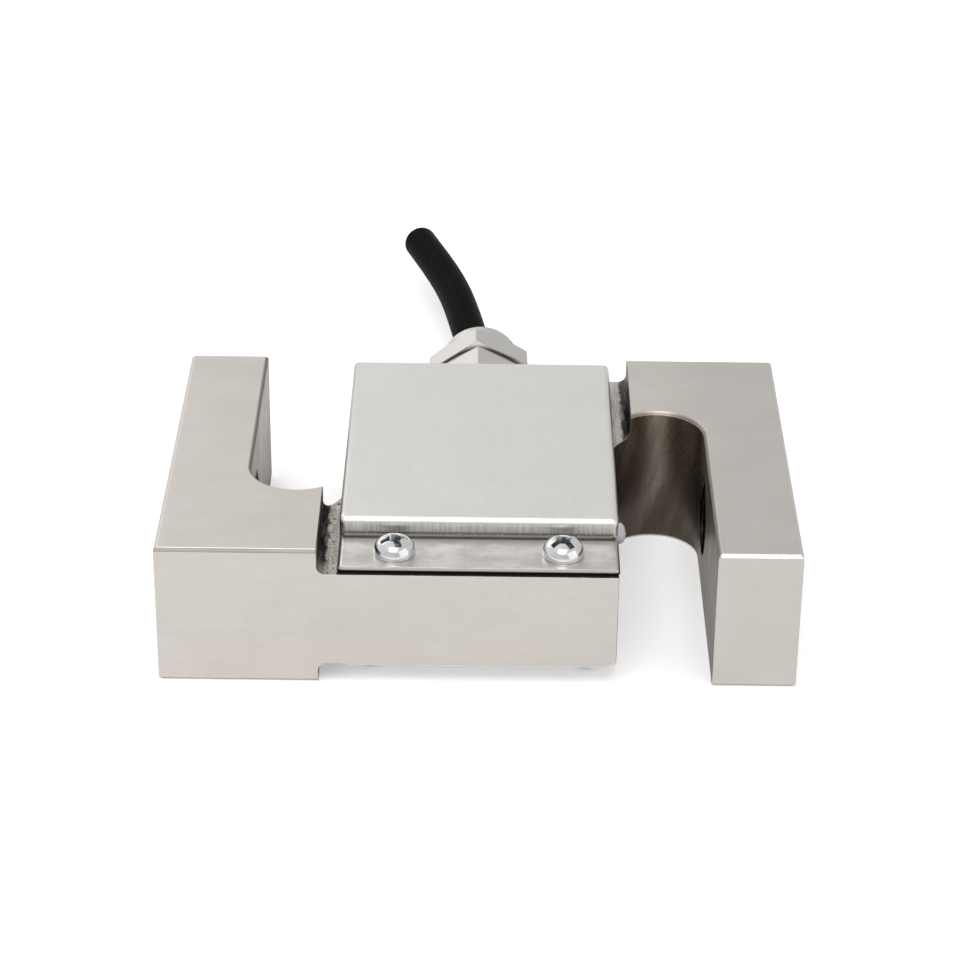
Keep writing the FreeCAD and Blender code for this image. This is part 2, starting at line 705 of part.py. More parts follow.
def cut_hexagon_corners(body, name, start, end):
    """Turn off the corners of a hexagon at both ends, as on a nut."""
    flat = size["hex_flats"] / 2
    reach = size["hex_flats"] * HEX_CORNER_REACH
    drop = (reach - flat) * math.tan(math.radians(HEX_CORNER_ANGLE))
    for face, inward in ((start, 1), (end, -1)):
        ring = new_sketch(body, f"{name}_{'foot' if inward > 0 else 'top'}", "XZ_Plane")
        add_outline(ring, [(flat, face), (reach, face), (reach, face + drop * inward)])
        before = body.Shape.Volume
        groove = body.newObject("PartDesign::Groove", f"{ring.Name}_groove")
        groove.Profile = ring
        groove.ReferenceAxis = (ring, ["V_Axis"])
        groove.Angle = 360
        doc.recompute()
        if not body.Shape.Volume < before - 1e-6:
            raise RuntimeError(f"{groove.Name} cuts nothing")


def seat_gland_piece(body):
    """Set a piece of the gland on its axis at the back face."""
    turn_outwards(body)
    place(body, size["gland_offset"], half_depth, axis_height)


def make_gland_washer():
    """Flat sealing washer between the block and the gland body."""
    body = new_body("gland_washer")
    ring = new_sketch(body, "washer_ring", "XY_Plane")
    add_circle(ring, 0.0, 0.0, size["washer_diameter"])
    add_circle(ring, 0.0, 0.0, size["gland_hole_diameter"] + size["fit_clearance"] * 2)
    pad(body, ring, size["washer_thickness"])
    seat_gland_piece(body)
    return body


def make_gland_body():
    """Gland body: threaded spigot, hexagon and threaded collar with the seat of the seal."""
    body = new_body("gland_body")
    hexagon = new_sketch(body, "body_hexagon", "XY_Plane", body_hex_start)
    add_hexagon(hexagon, size["hex_flats"], size["body_hex_turn"])
    pad(body, hexagon, size["body_hex_length"])
    cut_hexagon_corners(body, "body_corners", body_hex_start, body_hex_end)
    spigot_length = gland_hole_depth - size["tapping_allowance"]
    spigot = new_sketch(body, "body_spigot", "XY_Plane", -spigot_length)
    add_circle(spigot, 0.0, 0.0, size["gland_hole_diameter"] - size["fit_clearance"] * 2)
    pad(body, spigot, spigot_length + size["washer_thickness"])
    collar = new_sketch(body, "body_collar", "XY_Plane", body_hex_end)
    add_circle(collar, 0.0, 0.0, size["collar_diameter"])
    pad(body, collar, size["collar_length"])
    bore = new_sketch(body, "body_bore", "XY_Plane", -spigot_length)
    add_circle(bore, 0.0, 0.0, size["gland_bore"])
    pocket(body, bore, forward=True)
    seat = new_sketch(body, "seal_seat", "XY_Plane", seal_start)
    add_circle(seat, 0.0, 0.0, size["seal_diameter"] + size["fit_clearance"] * 2)
    pocket(body, seat, forward=True)
    seat_gland_piece(body)
    return body


def make_gland_cap_nut():
    """Cap nut: hexagon and rounded dome over the collar, with a mouth for the cable."""
    body = new_body("gland_cap_nut")
    hexagon = new_sketch(body, "nut_hexagon", "XY_Plane", nut_start)
    add_hexagon(hexagon, size["hex_flats"], size["nut_hex_turn"])
    pad(body, hexagon, size["nut_hex_length"])
    cut_hexagon_corners(body, "nut_corners", nut_start, nut_hex_end)
    dome = new_sketch(body, "nut_dome", "XY_Plane", nut_hex_end)
    add_circle(dome, 0.0, 0.0, size["dome_diameter"])
    pad(body, dome, size["dome_length"])

    def at_rim(edge, direction, middle):
        return direction is None and near(middle.z, nut_end)

    dress(body, "Fillet", "dome_rim", size["dome_round"], edges_where(body.Shape, at_rim))
    chamber = new_sketch(body, "nut_chamber", "XY_Plane", nut_start)
    add_circle(chamber, 0.0, 0.0, size["collar_diameter"] + size["fit_clearance"] * 2)
    pocket(body, chamber, ring_end - nut_start, forward=True)
    mouth = new_sketch(body, "nut_mouth", "XY_Plane", nut_start)
    add_circle(mouth, 0.0, 0.0, size["mouth_diameter"])
    pocket(body, mouth, forward=True)
    seat_gland_piece(body)
    return body


def make_gland_ring(label, outer, inner, start, length):
    """A plain ring in the gland, such as its seal."""
    body = new_body(label)
    ring = new_sketch(body, f"{label}_section", "XY_Plane", start)
    add_circle(ring, 0.0, 0.0, outer)
    add_circle(ring, 0.0, 0.0, inner)
    pad(body, ring, length)
    seat_gland_piece(body)
    return body


# Cable: the held stretch lies in the gland and the duct, the free stretch leaves the clamp ring
cable_x = number_of(size["gland_offset"])
cable_z = number_of(axis_height)
back_face = number_of(half_depth)
jacket_start = back_face - number_of(gland_hole_depth + size["cable_tail"])
free_start = back_face + number_of(ring_end)
shield_bore = number_of(size["cable_diameter"] - size["jacket_wall"] * 2 - size["shield_thickness"] * 2)
jacket_bore = number_of(size["cable_diameter"] - size["jacket_wall"] * 2)


def free_route(sideways=0.0, up=0.0):
    """Points and turn radii of a line along the free cable, beside its middle line by sideways and up."""
    middle = [
        Vector(cable_x + shift, free_start + along, cable_z - sag) for along, shift, sag in CABLE_ROUTE
    ]
    headings = [(after - before).normalize() for before, after in zip(middle, middle[1:])]
    up_axis = Vector(0, 0, 1)
    points = [middle[0] + headings[0].cross(up_axis) * sideways]
    radii = []
    for index in range(1, len(middle) - 1):
        towards, away = headings[index - 1], headings[index]
        half_turn = towards.getAngle(away) / 2
        shorter = min((middle[index] - middle[index - 1]).Length, (middle[index + 1] - middle[index]).Length)
        side_axis = (towards.cross(up_axis) + away.cross(up_axis)).normalize()
        points.append(middle[index] + side_axis * (sideways / math.cos(half_turn)))
        leftwards = towards.cross(away).z > 0
        radius = 0.45 * shorter / math.tan(half_turn)
        radii.append(radius + sideways if leftwards else radius - sideways)
    points.append(middle[-1] + headings[-1].cross(up_axis) * sideways)
    return [point + up_axis * up for point in points], radii


def make_held_cable():
    """Jacket of the cable from the duct through the gland to the clamp ring."""
    ends = [Vector(cable_x, jacket_start, cable_z), Vector(cable_x, free_start, cable_z)]
    tube = make_tube(ends, [], number_of(size["cable_diameter"]), jacket_bore)
    return add_computed("cable_jacket_in_gland", tube)


def make_free_cable():
    """Jacket of the cable from the clamp ring to its cut end."""
    points, radii = free_route()
    tube = make_tube(points, radii, number_of(size["cable_diameter"]), jacket_bore)
    length = 0.0
    for piece in route_turns(points, radii):
        if piece[0] == "run":
            length += (piece[2] - piece[1]).Length
        else:
            length += math.radians(piece[4]) * (piece[1] - piece[2]).Length
    section = math.pi / 4 * (number_of(size["cable_diameter"]) ** 2 - jacket_bore ** 2)
    print("cable turn radii:", [round(radius, 1) for radius in radii])
    print(f"free cable: {length:.2f} mm, volume {tube.Volume:.2f}, section x length {section * length:.2f}")
    if abs(tube.Volume / (section * length) - 1) > 1e-4:
        raise RuntimeError("the free cable's volume is not its section times its length")
    return add_computed("cable_jacket", tube)


def make_shield():
    """Braided shield under the jacket, over the cable's whole length."""
    points, radii = free_route()
    points[0] = Vector(cable_x, jacket_start, cable_z)
    return add_computed("cable_shield", make_tube(points, radii, jacket_bore, shield_bore))


def make_cores():
    """The four insulated cores, from the terminal board down the well and along the cable."""
    cores = []
    offset = number_of(size["core_spacing"]) / 2
    rise = number_of(size["core_rise_spacing"]) / 2
    bend = number_of(size["core_bend"])
    diameter = number_of(size["core_diameter"])
    rest_z = number_of(board_top + size["fit_clearance"]) + diameter / 2
    corners = {"red": (1, 1), "black": (-1, 1), "green": (1, -1), "white": (-1, -1)}
    for colour, (side, level) in corners.items():
        x = cable_x + side * offset
        y = number_of(well_y) + level * rise
        z = cable_z + level * offset
        points, radii = free_route(side * offset, level * offset)
        inner = [
            Vector(cable_x + side * number_of(size["core_reach"]), y, rest_z),
            Vector(x, y, rest_z),
            Vector(x, y, z),
        ]
        tube = make_tube(inner + points[1:], [bend, bend] + radii, diameter)
        cores.append(add_computed(f"cable_core_{colour}", tube))
    return cores


def make_terminal_board():
    """Board on the recess floor, with a wire hole over the well."""
    body = new_body("terminal_board")
    half_x = size["board_length"] / 2
    half_y = size["board_depth"] / 2
    x = size["gland_offset"]
    outline = new_sketch(body, "board_outline", "XY_Plane", top_floor)
    add_box(outline, x - half_x, well_y - half_y, x + half_x, well_y + half_y)
    add_circle(outline, x, well_y, size["well_diameter"])
    pad(body, outline, size["board_thickness"])
    return body


def make_resistors():
    """Two chip resistors along the back edge of the board."""
    blanks = []
    for name, side in (("left", -1), ("right", 1)):
        middle_x = size["gland_offset"] + size["resistor_spacing"] / 2 * side
        back_y = well_y + size["board_depth"] / 2 - size["resistor_inset"]
        low = (middle_x - size["resistor_length"] / 2, back_y - size["resistor_width"], board_top)
        high = (middle_x + size["resistor_length"] / 2, back_y, board_top + size["resistor_height"])
        blanks.append(blank_box(f"resistor_{name}", low, high))
    pair = doc.addObject("Part::Compound", "trim_resistors")
    pair.Label = "trim_resistors"
    pair.Links = blanks
    return pair


def make_gauges():
    """Four foil strain gauges, two on each side of the web."""
    gauges = []
    for level in ("top", "bottom"):
        low_z = web_top if level == "top" else web_bottom - size["gauge_thickness"]
        for name, side in (("left", -1), ("right", 1)):
            middle_x = size["gauge_spacing"] / 2 * side
            low = (middle_x - size["gauge_width"] / 2, size["gauge_length"] / -2, low_z)
            high = (
                middle_x + size["gauge_width"] / 2,
                size["gauge_length"] / 2,
                low_z + size["gauge_thickness"],
            )
            gauge = blank_box(f"strain_gauge_{level}_{name}", low, high)
            gauge.Label = f"strain_gauge_{level}_{name}"
            gauges.append(gauge)
    return gauges


def make_gauge_leads():
    """Pairs of thin leads from the gauges to the front edge of the board."""
    leads = []
    radius = number_of(size["lead_diameter"]) / 2
    bend = number_of(size["lead_bend"])
    start_y = number_of(size["gauge_length"] / 2 - size["lead_overlap"])
    hole_y = number_of(lead_hole_y)
    end_y = number_of(well_y - size["board_depth"] / 2 + size["lead_overlap"])
    board_z = number_of(board_top + size["fit_clearance"]) + radius
    hole_spacing = number_of(size["lead_hole_spacing"])
    for level in ("top", "bottom"):
        if level == "top":
            gauge_z = number_of(web_top + size["gauge_thickness"] + size["fit_clearance"]) + radius
        else:
            gauge_z = number_of(web_bottom - size["gauge_thickness"] - size["fit_clearance"]) - radius
        for name, side in (("left", -1), ("right", 1)):
            tubes = []
            for rank in (-1, 1):
                x = number_of(size["gauge_spacing"] / 2 + size["lead_spacing"] / 2 * rank) * side
                rise_x = x if level == "top" else side * hole_spacing * (1 + rank / 2)
                points = [
                    Vector(x, start_y, gauge_z),
                    Vector(rise_x, hole_y, gauge_z),
                    Vector(rise_x, hole_y, board_z),
                    Vector(rise_x, end_y, board_z),
                ]
                tubes.append(make_tube(points, [bend, bend], 2 * radius))
            leads.append(add_computed(f"gauge_leads_{level}_{name}", Part.makeCompound(tubes)))
    return leads


def make_potting(label, blanks, buried):
    """Silicone that fills the blanks round the pieces buried in it."""
    fill = blanks[0]
    if len(blanks) > 1:
        fill = doc.addObject("Part::MultiFuse", f"{label}_fill")
        fill.Shapes = blanks
    inside = doc.addObject("Part::Compound", f"{label}_buried")
    inside.Links = buried
    potting = doc.addObject("Part::Cut", label)
    potting.Label = label
    potting.Base = fill
    potting.Tool = inside
    doc.recompute()
    return potting


def make_top_potting(buried):
    """Silicone in the upper pocket, the well and under the top cover's plate."""
    side_x = cover_half - size["potting_inset"]
    front_y = size["cover_setback"] - half_depth + size["flange_depth"] + size["sheet_thickness"]
    back_y = half_depth - size["cover_setback"] - size["sheet_thickness"]
    low = (-side_x, front_y + size["potting_play"], top_floor)
    high = (side_x, back_y - size["potting_play"], plate_bottom)
    blanks = [
        blank_box("potting_under_plate", low, high),
        blank_cylinder("potting_in_pocket", size["pocket_diameter"], top_floor - web_top, 0.0, 0.0, web_top),
        blank_cylinder(
            "potting_in_well", size["well_diameter"], top_floor - well_floor,
            size["gland_offset"], well_y, well_floor,
        ),
        blank_cylinder(
            "potting_in_lead_hole", size["lead_hole_diameter"], size["web_thickness"],
            0.0, lead_hole_y, web_bottom,
        ),
    ]
    return make_potting("potting_top", blanks, buried)


def make_bottom_potting(buried):
    """Silicone in the lower pocket, down to the bottom cover."""
    depth = web_bottom - bottom_floor
    blank = blank_cylinder("potting_below_web", size["pocket_diameter"], depth, 0.0, 0.0, bottom_floor)
    return make_potting("potting_bottom", [blank], buried)


def check(items):
    """Stop if any object failed or any piece has no valid shape."""
    for item in doc.Objects:
        if any(word in item.State for word in ("Invalid", "Error")):
            raise RuntimeError(f"{item.Label} failed: {item.State}")
    for item in items:
        if item.Shape.isNull() or not item.Shape.isValid() or not item.Shape.Solids:
            raise RuntimeError(f"{item.Label} has no valid solid")


def main():
    """Build every piece, check them and write them out."""
    pieces.append(make_spring_element())
    pieces.append(make_top_cover())
    pieces.append(make_bottom_cover())
    pieces.extend(make_top_screws())
    pieces.extend(make_bottom_screws())
    pieces.append(make_gland_washer())
    pieces.append(make_gland_body())
    pieces.append(make_gland_cap_nut())
    cable = size["cable_diameter"]
    seal_length = size["seal_length"]
    pieces.append(make_gland_ring("gland_seal", size["seal_diameter"], cable, seal_start, seal_length))
    ring_outer = size["collar_diameter"] - size["fit_clearance"] * 2
    ring_inner = cable + size["fit_clearance"] * 2
    thickness = size["clamp_ring_thickness"]
    pieces.append(make_gland_ring("gland_clamp_ring", ring_outer, ring_inner, ring_start, thickness))
    pieces.append(make_held_cable())
    pieces.append(make_free_cable())
    pieces.append(make_shield())
    cores = make_cores()
    board = make_terminal_board()
    resistors = make_resistors()
    gauges = make_gauges()
    leads = make_gauge_leads()
    doc.recompute()
    pieces.extend(cores + [board, resistors] + gauges + leads)
    pieces.append(make_top_potting(cores + [board, resistors] + gauges[:2] + leads))
    pieces.append(make_bottom_potting(gauges[2:] + leads[2:]))
    doc.recompute()
    check(pieces)
    os.makedirs("parts", exist_ok=True)
    for piece in pieces:
        piece.Shape.exportStep(f"parts/{piece.Label}.step")
        print(f"{piece.Label}: {len(piece.Shape.Solids)} solid, {piece.Shape.Volume:.2f} mm3")


main()
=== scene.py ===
"""Looks of an S type load cell that lies on its side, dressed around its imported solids.

The frame is the solids' own, in metres: X runs along the pull axis from arm to arm, Y from the
screwed edge of the cover to the cable gland, and Z up. The origin is the middle of the underside.
"""

import logging
import math
from dataclasses import dataclass
from enum import Enum
from functools import partial, reduce
from typing import Optional, Sequence

import bmesh
import bpy
import numpy as np
from mathutils import Matrix, Vector


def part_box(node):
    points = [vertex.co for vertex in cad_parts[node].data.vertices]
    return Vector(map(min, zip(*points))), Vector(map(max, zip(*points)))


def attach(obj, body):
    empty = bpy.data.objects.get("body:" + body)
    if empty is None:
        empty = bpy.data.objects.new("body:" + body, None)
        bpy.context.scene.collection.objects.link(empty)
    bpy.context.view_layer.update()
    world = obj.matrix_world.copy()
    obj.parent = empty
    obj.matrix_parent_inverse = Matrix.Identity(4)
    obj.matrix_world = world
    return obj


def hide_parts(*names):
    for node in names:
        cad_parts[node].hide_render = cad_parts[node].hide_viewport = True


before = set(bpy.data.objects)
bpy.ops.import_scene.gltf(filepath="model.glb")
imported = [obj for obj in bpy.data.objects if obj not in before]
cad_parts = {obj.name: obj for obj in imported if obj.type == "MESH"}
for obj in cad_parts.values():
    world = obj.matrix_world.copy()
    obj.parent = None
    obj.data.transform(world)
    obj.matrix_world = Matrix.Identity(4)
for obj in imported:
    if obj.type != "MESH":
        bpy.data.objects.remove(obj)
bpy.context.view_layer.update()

log = logging.getLogger("load_cell")

Socket = bpy.types.NodeSocket
Material = bpy.types.Material
Triple = tuple[float, float, float]

MM = 0.001
BODY = "root"


def box_mm(node: str) -> tuple[list[float], list[float]]:
    """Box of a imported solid.

    Args:
        node: name of the solid.

    Returns:
        Its lowest and its highest corner, in millimetres.
    """
    low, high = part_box(node)
    return [round(value / MM, 3) for value in low], [round(value / MM, 3) for value in high]


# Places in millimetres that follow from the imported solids
_, (_, HALF_DEPTH, BLOCK_TOP) = box_mm("spring_element")
(_, COVER_FRONT, RECESS_FLOOR), (COVER_HALF, _, COVER_TOP) = box_mm("top_cover")
(_, _, UNDER_SEAT), (_, _, UNDER_FLOOR) = box_mm("bottom_cover")
(NUT_LEFT, _, _), (NUT_RIGHT, _, _) = box_mm("gland_cap_nut")
AXIS_Z = BLOCK_TOP / 2
GLAND_X = (NUT_LEFT + NUT_RIGHT) / 2
SHEET_THICKNESS = UNDER_FLOOR - UNDER_SEAT
FLANGE_TOP = RECESS_FLOOR + SHEET_THICKNESS
PLATE_UNDER = COVER_TOP - SHEET_THICKNESS

# Places in millimetres inside the solids, as they were drawn
SLOT_X = 22.3
SLOT_RADIUS = 5.75
SLOT_END_Y = 4.75
ARM_INNER = 28.05
RECESS_HALF = 19.05
UNDER_RIGHT = 17.85
BORE_RADIUS = 5.0
RISER_Y = -17.3
TOP_SCREW_AT = (10.0, -21.3)
BOTTOM_SCREW_AT = (13.0, 21.4)

# How far the mask of a face reaches past it, in millimetres
NEAR = 0.05


class Colour:
    """Base colours of the finishes, and of painted light and shade, linear red, green and blue."""

    NICKEL = (0.700, 0.664, 0.624)
    NICKEL_SHADE = (0.626, 0.591, 0.550)
    # Painted shade of the right arm
    NICKEL_RIGHT_SHADE = (0.500, 0.475, 0.445)
    SLOT_WALL = (0.225, 0.184, 0.147)
    SLOT_PALE = (0.430, 0.372, 0.305)
    SLOT_FLECK = (0.480, 0.430, 0.385)
    # Stain, also used for painted shade and a painted shadow
    STAIN_AND_SHADE = (0.050, 0.040, 0.032)
    # Black stain, also used for painted shade
    STAIN_BLACK = (0.016, 0.014, 0.013)
    RUST = (0.170, 0.098, 0.052)
    SHEET = (0.845, 0.832, 0.796)
    SHEET_SHADE = (0.585, 0.562, 0.535)
    SHEET_BRIGHT = (0.760, 0.732, 0.700)
    DRAWN = (0.520, 0.496, 0.490)
    DRAWN_PALE = (0.800, 0.775, 0.770)
    # Painted highlight of the bend
    BEND_HIGHLIGHT = (0.770, 0.765, 0.745)
    # Painted shadow in the crease at the foot of the step, dark and half dark
    CREASE_SHADOW = (0.085, 0.085, 0.075)
    CREASE_HALF_SHADOW = (0.340, 0.340, 0.310)
    CUT_EDGE = (0.560, 0.555, 0.530)
    # Painted shadow under the flange's cut edge
    SEAM_SHADOW = (0.030, 0.028, 0.026)
    SIDE_SHADE = (0.330, 0.325, 0.305)
    ZINC = (0.800, 0.810, 0.815)
    # Painted shade in screw recesses
    RECESS_SHADE = (0.105, 0.115, 0.125)
    GLAND = (0.655, 0.637, 0.612)
    # Painted shade in the gland's gap between body and cap nut
    GAP_SHADE = (0.150, 0.132, 0.100)
    # Near black thread in the load bores: painted shade
    THREAD_IN_SHADE = (0.040, 0.034, 0.030)
    BRASS = (0.700, 0.500, 0.220)
    COPPER = (0.800, 0.420, 0.240)
    ENAMEL = (0.520, 0.190, 0.070)
    BRAID_GAP = (0.250, 0.240, 0.220)
    BRAID = (0.700, 0.690, 0.660)
    JACKET = (0.0022, 0.0022, 0.0023)
    JACKET_PALE = (0.0075, 0.0075, 0.0077)
    FIBRE = (0.030, 0.030, 0.030)
    RUBBER = (0.016, 0.016, 0.016)
    CORE_RED = (0.460, 0.020, 0.018)
    CORE_BLACK = (0.014, 0.014, 0.014)
    CORE_GREEN = (0.018, 0.220, 0.050)
    CORE_WHITE = (0.620, 0.620, 0.600)
    VARNISH = (0.020, 0.120, 0.045)
    RESISTOR = (0.018, 0.018, 0.018)
    FILM = (0.420, 0.220, 0.050)
    SILICONE = (0.450, 0.445, 0.465)
    FLOOR = (0.900, 0.900, 0.900)


class Axis(Enum):
    """Axis of a pattern of long marks, by its place in a vector."""

    X = 0
    Y = 1
    Z = 2


class Side(Enum):
    """Side of the cell along X, by its sign."""

    LEFT = -1
    RIGHT = 1


class End(Enum):
    """End of the cell along Y, by its sign."""

    FRONT = -1
    BACK = 1


def scaled(colour: Triple, share: float) -> Triple:
    """A colour times a share, each part kept to 0.9 or less."""
    return tuple(min(0.9, share * part) for part in colour)


# Shader nodes


class Graph:
    """A node tree with short calls to place and join nodes."""

    def __init__(self, tree: bpy.types.NodeTree) -> None:
        """Keep the tree.

        Args:
            tree: node tree of a material, a world or a group.
        """
        self.tree = tree
        self.nodes = tree.nodes

    def add(self, kind: str, inputs: Optional[dict] = None, **settings: object) -> bpy.types.Node:
        """Place a node.

        Args:
            kind: its type name without the ShaderNode prefix.
            inputs: what its inputs are fed, by their names or numbers.
            settings: its properties.

        Returns:
            The node.
        """
        node = self.nodes.new("ShaderNode" + kind)
        for name, value in settings.items():
            setattr(node, name, value)
        for name, value in (inputs or {}).items():
            self.feed(node.inputs[name], value)
        return node

    def feed(self, socket: Socket, value: object) -> None:
        """Join an output to a socket, or set the socket's own value.

        Args:
            socket: the input.
            value: an output of another node, a number, a colour or a vector.
        """
        if isinstance(value, Socket):
            self.tree.links.new(value, socket)
        elif isinstance(value, (tuple, list)) and len(value) == 3 and socket.type == "RGBA":
            socket.default_value = (*value, 1.0)
        else:
            socket.default_value = value

    def math(self, operation: str, *values: object, **settings: object) -> Socket:
        """The result of a Math node, such as MULTIPLY, on its input values."""
        return self.add("Math", dict(enumerate(values)), operation=operation, **settings).outputs[0]

    def size(self, value: object) -> Socket:
        """A value without its sign."""
        return self.math("ABSOLUTE", value)

    def plus(self, first: object, second: object) -> Socket:
        """The sum of two values."""
        return self.math("ADD", first, second)

    def minus(self, first: object, second: object) -> Socket:
        """The first value less the second."""
        return self.math("SUBTRACT", first, second)

    def below(self, value: object, limit: object) -> Socket:
        """1 where a value is less than a limit, else 0."""
        return self.math("LESS_THAN", value, limit)

    def above(self, value: object, limit: object) -> Socket:
        """1 where a value is more than a limit, else 0."""
        return self.math("GREATER_THAN", value, limit)

    def larger(self, first: object, second: object) -> Socket:
        """The larger of two values."""
        return self.math("MAXIMUM", first, second)

    def times(self, *values: object) -> Socket:
        """The product of all values."""
        return reduce(partial(self.math, "MULTIPLY"), values)

    def weighted(self, *pairs: tuple) -> Socket:
        """The sum of values, each given with its own weight."""
        return reduce(self.plus, [self.times(*pair) for pair in pairs])

    def less(self, start: object, value: object, share: float) -> Socket:
        """A start value less a share of another value."""
        return self.minus(start, self.times(value, share))

    def distance(self, first: object, second: object) -> Socket:
        """The root of the sum of two squares."""
        return self.math("SQRT", self.weighted((first, first), (second, second)))

    def ramp(self, value: object, low: float, high: float,
             start: float = 0.0, end: float = 1.0) -> Socket:
        """A smooth step: start up to low, end from high on, and an S curve between them."""
        inputs = dict(enumerate((value, low, high, start, end)))
        return self.add("MapRange", inputs, interpolation_type="SMOOTHSTEP").outputs["Result"]

    def mix(self, factor: object, first: object, second: object) -> Socket:
        """A blend of two colours by the share of the second."""
        return self.add("Mix", {0: factor, 6: first, 7: second}, data_type="RGBA").outputs[2]

    def noise(self, vector: object, scale: object, detail: float, roughness: float = 0.5) -> Socket:
        """Soft noise about 0.5 along a vector, with finer layers by their number and their share."""
        inputs = {"Vector": vector, "Scale": scale, "Detail": detail, "Roughness": roughness}
        return self.add("TexNoise", inputs).outputs["Fac"]

    def stretch(self, vector: object, scale: Sequence[float],
                shift: Triple = (0.0, 0.0, 0.0)) -> Socket:
        """A vector scaled along each axis, then moved."""
        return self.add("Mapping", {"Vector": vector, "Location": shift, "Scale": scale}).outputs["Vector"]

    def split(self, vector: object) -> list[Socket]:
        """The parts of a vector along X, Y and Z."""
        return list(self.add("SeparateXYZ", {0: vector}).outputs)

    def group(self, tree: bpy.types.NodeTree, **values: object) -> Sequence[Socket]:
        """The outputs of a group that is fed values by name."""
        return self.add("Group", values, node_tree=tree).outputs


class Effects:
    """Surface effects that several finishes share, each a node group built once."""

    def __init__(self) -> None:
        """Build the groups."""
        self.brushing = self._brushing()
        self.mottle = self._mottle()
        self.specks = self._specks()

    @staticmethod
    def _start(name: str, outputs: Sequence[str], **inputs: float
               ) -> tuple[Graph, dict[str, Socket], dict[str, Socket]]:
        """An empty group that follows a vector.

        Args:
            name: its name.
            outputs: names of its values.
            inputs: starting values of its numbers by name.

        Returns:
            Its graph, what it is given and what it puts out, both by name.
        """
        tree = bpy.data.node_groups.new(name, "ShaderNodeTree")
        tree.interface.new_socket("Vector", in_out="INPUT", socket_type="NodeSocketVector")
        for label, value in inputs.items():
            socket = tree.interface.new_socket(label, in_out="INPUT", socket_type="NodeSocketFloat")
            socket.default_value = value
        for label in outputs:
            tree.interface.new_socket(label, in_out="OUTPUT", socket_type="NodeSocketFloat")
        given = tree.nodes.new("NodeGroupInput").outputs
        result = tree.nodes.new("NodeGroupOutput").inputs
        return Graph(tree), given, result

    def _brushing(self) -> bpy.types.NodeTree:
        """Long fine marks: noise squeezed across the marks, with a coarser set under a finer.

        Returns:
            The group's tree.
        """
        graph, given, result = self._start("brushed marks", ("Marks", "Height"), Fine=9.0, Coarse=2.5)
        fine = graph.noise(given["Vector"], given["Fine"], 3.0)
        coarse = graph.noise(given["Vector"], given["Coarse"], 3.0)
        both = graph.times(graph.plus(fine, coarse), 0.5)
        graph.feed(result["Marks"], graph.ramp(both, 0.36, 0.64))
        graph.feed(result["Height"], both)
        return graph.tree

    def _mottle(self) -> bpy.types.NodeTree:
        """Cloudy change of tone: soft noise, pulled apart round its middle.

        Returns:
            The group's tree.
        """
        graph, given, result = self._start("cloudy tone", ("Tone",), Scale=0.2, Strength=1.0)
        wide = graph.noise(given["Vector"], given["Scale"], 4.0, 0.55)
        scaled_tone = graph.times(graph.minus(wide, 0.5), given["Strength"])
        graph.feed(result["Tone"], graph.math("ADD", scaled_tone, 0.5, use_clamp=True))
        return graph.tree

    def _specks(self) -> bpy.types.NodeTree:
        """Scattered small pits: the middles of some cells of a cell pattern.

        Returns:
            The group's tree.
        """
        graph, given, result = self._start("small specks", ("Mask",), Scale=0.8, Size=0.16, Share=0.3)
        cells = graph.add("TexVoronoi", {"Vector": given["Vector"], "Scale": given["Scale"]}).outputs
        near = graph.below(cells["Distance"], given["Size"])
        chosen = graph.below(graph.split(cells["Color"])[0], given["Share"])
        graph.feed(result["Mask"], graph.times(near, chosen))
        return graph.tree


class Look(Graph):
    """A material in the making: its graph and shader, the shared effects and the place on the piece."""

    def __init__(self, material: Material, effects: Effects) -> None:
        """Clear the material and give it a shader.

        Args:
            material: the new material.
            effects: the shared groups.
        """
        material.use_nodes = True
        super().__init__(material.node_tree)
        self.nodes.clear()
        self.effects = effects
        self.shader = self.add("BsdfPrincipled")
        self.add("OutputMaterial", {"Surface": self.shader.outputs["BSDF"]})
        self.place = self.stretch(self.add("TexCoord").outputs["Object"], (1 / MM, 1 / MM, 1 / MM))
        self.parts = self.split(self.place)

    def dress(self, name: str, value: object) -> None:
        """Feed a socket of the shader by its name."""
        self.feed(self.shader.inputs[name], value)

    def texture(self, scale: float, detail: float, roughness: float,
                squeeze: Optional[Triple] = None) -> Socket:
        """Soft noise about 0.5 by the place on the piece, scaled along each axis where asked."""
        vector = self.stretch(self.place, squeeze) if squeeze else self.place
        return self.noise(vector, scale, detail, roughness)

    def cloud(self, scale: float, strength: float) -> Socket:
        """Cloudy tone from 0 to 1, by size and strength of the clouds."""
        return self.group(self.effects.mottle, Vector=self.place, Scale=scale, Strength=strength)[0]

    def dots(self, scale: float, size: float, share: float) -> Socket:
        """Mask of scattered dots, by how dense, how large and how many of them."""
        tree = self.effects.specks
        return self.group(tree, Vector=self.place, Scale=scale, Size=size, Share=share)[0]

    def marks(self, squeeze: Sequence[float], fine: float, coarse: float) -> Sequence[Socket]:
        """Tone and height of long marks, by scale along each axis and of the two sets."""
        vector = self.stretch(self.place, squeeze)
        return self.group(self.effects.brushing, Vector=vector, Fine=fine, Coarse=coarse)

    def bump(self, height: object, relief: float, edge_round: float = 0.0, samples: int = 6) -> None:
        """Raise the surface by a height, and round its edges where asked.

        Args:
            height: output that holds the height.
            relief: millimetres at a height of 1.
            edge_round: radius of the rounded edges in millimetres, 0 for crisp ones.
            samples: rays of the rounding.
        """
        inputs = {"Strength": 1.0, "Distance": relief * MM, "Height": height}
        if edge_round:
            inputs["Normal"] = self.add("Bevel", {"Radius": edge_round * MM}, samples=samples).outputs[0]
        self.dress("Normal", self.add("Bump", inputs).outputs[0])


# Finishes


